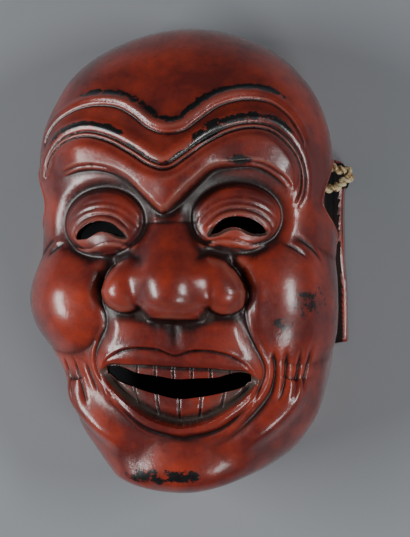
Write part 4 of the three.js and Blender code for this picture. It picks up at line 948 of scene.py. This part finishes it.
mouth_x = np.linspace(-MOUTH_CORNER, MOUTH_CORNER, MOUTH_STEPS)
mouth_low, mouth_top = (above(np.abs(mouth_x), 0, line)[1] for line in (OPEN_FOOT, OPEN_TOP))
outline = from_face(np.append(mouth_x, mouth_x[::-1]), np.append(mouth_low, mouth_top[::-1]))
cutters = [inside, upright_bar("mouth_cutter", *outline, MOUTH_CLEAR)]
eye = drawn(EYE_OPENING + EYE_OPENING[:1])[:-1]
for side in (1, -1):
    x, y = from_face(side * eye[:, 0], eye[:, 1])
    cutters.append(upright_bar("eye_cutter", x[::-side], y[::-side], EYE_CLEAR))
y0, y1, z0, z1, radius = CORD_SLOT
turn = np.radians(np.concatenate([np.linspace(0, 90, 9) + 90 * k for k in range(4)]))
right, up = np.sign(np.round(np.cos(turn - 1e-3), 2)), np.sign(np.round(np.sin(turn + 1e-3), 2))
y = (y0 + y1) / 2 + right * ((y1 - y0) / 2 - radius) + radius * np.cos(turn)
z = (z0 + z1) / 2 + up * ((z1 - z0) / 2 - radius) + radius * np.sin(turn)
for side in (1, -1):
    rings = [np.column_stack([np.full(len(y), side * x), y, z])[::side] for x in SLOT_DEPTHS]
    cutters.append(cutting_bar("slot_cutter", rings))
for cutter in cutters:
    cut = mask.modifiers.new(cutter.name, "BOOLEAN")
    cut.object, cut.operation, cut.solver, cut.material_mode = cutter, "DIFFERENCE", "MANIFOLD", "TRANSFER"
finished = bpy.data.meshes.new_from_object(mask.evaluated_get(bpy.context.evaluated_depsgraph_get()))
mask.modifiers.clear()
mask.data = finished
for cutter in cutters:
    bpy.data.objects.remove(cutter)
finished.shade_smooth()
finished.set_sharp_from_angle(angle=SHARP_ANGLE)
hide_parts("mask")
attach(mask, "root")


# Studio: a plain grey paper floor, a long soft box at the left, which makes the shadow, and two smaller
# ones at the right and low on the right, for the highlights there.
PAPER_GREY = "#9a9ea3"
PAPER_HALF = 3
LIT_MIDDLE = (0, 0, 0.04)
SKY, SKY_STRENGTH = (0.5, 0.52, 0.55, 1), 0.15
floor_mesh = bpy.data.meshes.new("studio_floor")
floor_mesh.from_pydata([(x * PAPER_HALF, y * PAPER_HALF, 0) for x, y in ((-1, -1), (1, -1), (1, 1), (-1, 1))],
                       [], [(0, 1, 2, 3)])
floor = placed("studio_floor", floor_mesh)
paper, tree, surface = new_material("grey_paper")
surface.inputs["Base Color"].default_value = linear(PAPER_GREY)
surface.inputs["Roughness"].default_value = 0.9
floor_mesh.materials.append(paper)


def soft_box(name, at, size, power):
    """A soft light at a place in metres, turned to the mask's middle."""
    light = bpy.data.lights.new(name, "AREA")
    light.shape, light.size, light.size_y, light.energy = "RECTANGLE", *size, power
    lamp = placed(name, light)
    lamp.location = at
    lamp.rotation_euler = (Vector(at) - Vector(LIT_MIDDLE)).to_track_quat("Z", "Y").to_euler()


soft_box("left_box", (-0.95, -0.12, 0.7), (0.8, 0.22), 10)
soft_box("right_box", (0.85, 0.02, 0.8), (0.42, 0.16), 4.5)
soft_box("low_box", (0.62, -0.66, 0.8), (0.34, 0.2), 2.6)
world = bpy.data.worlds.new("studio")
world.use_nodes = True
background = world.node_tree.nodes["Background"].inputs
background[0].default_value, background[1].default_value = SKY, SKY_STRENGTH
scene.world = world
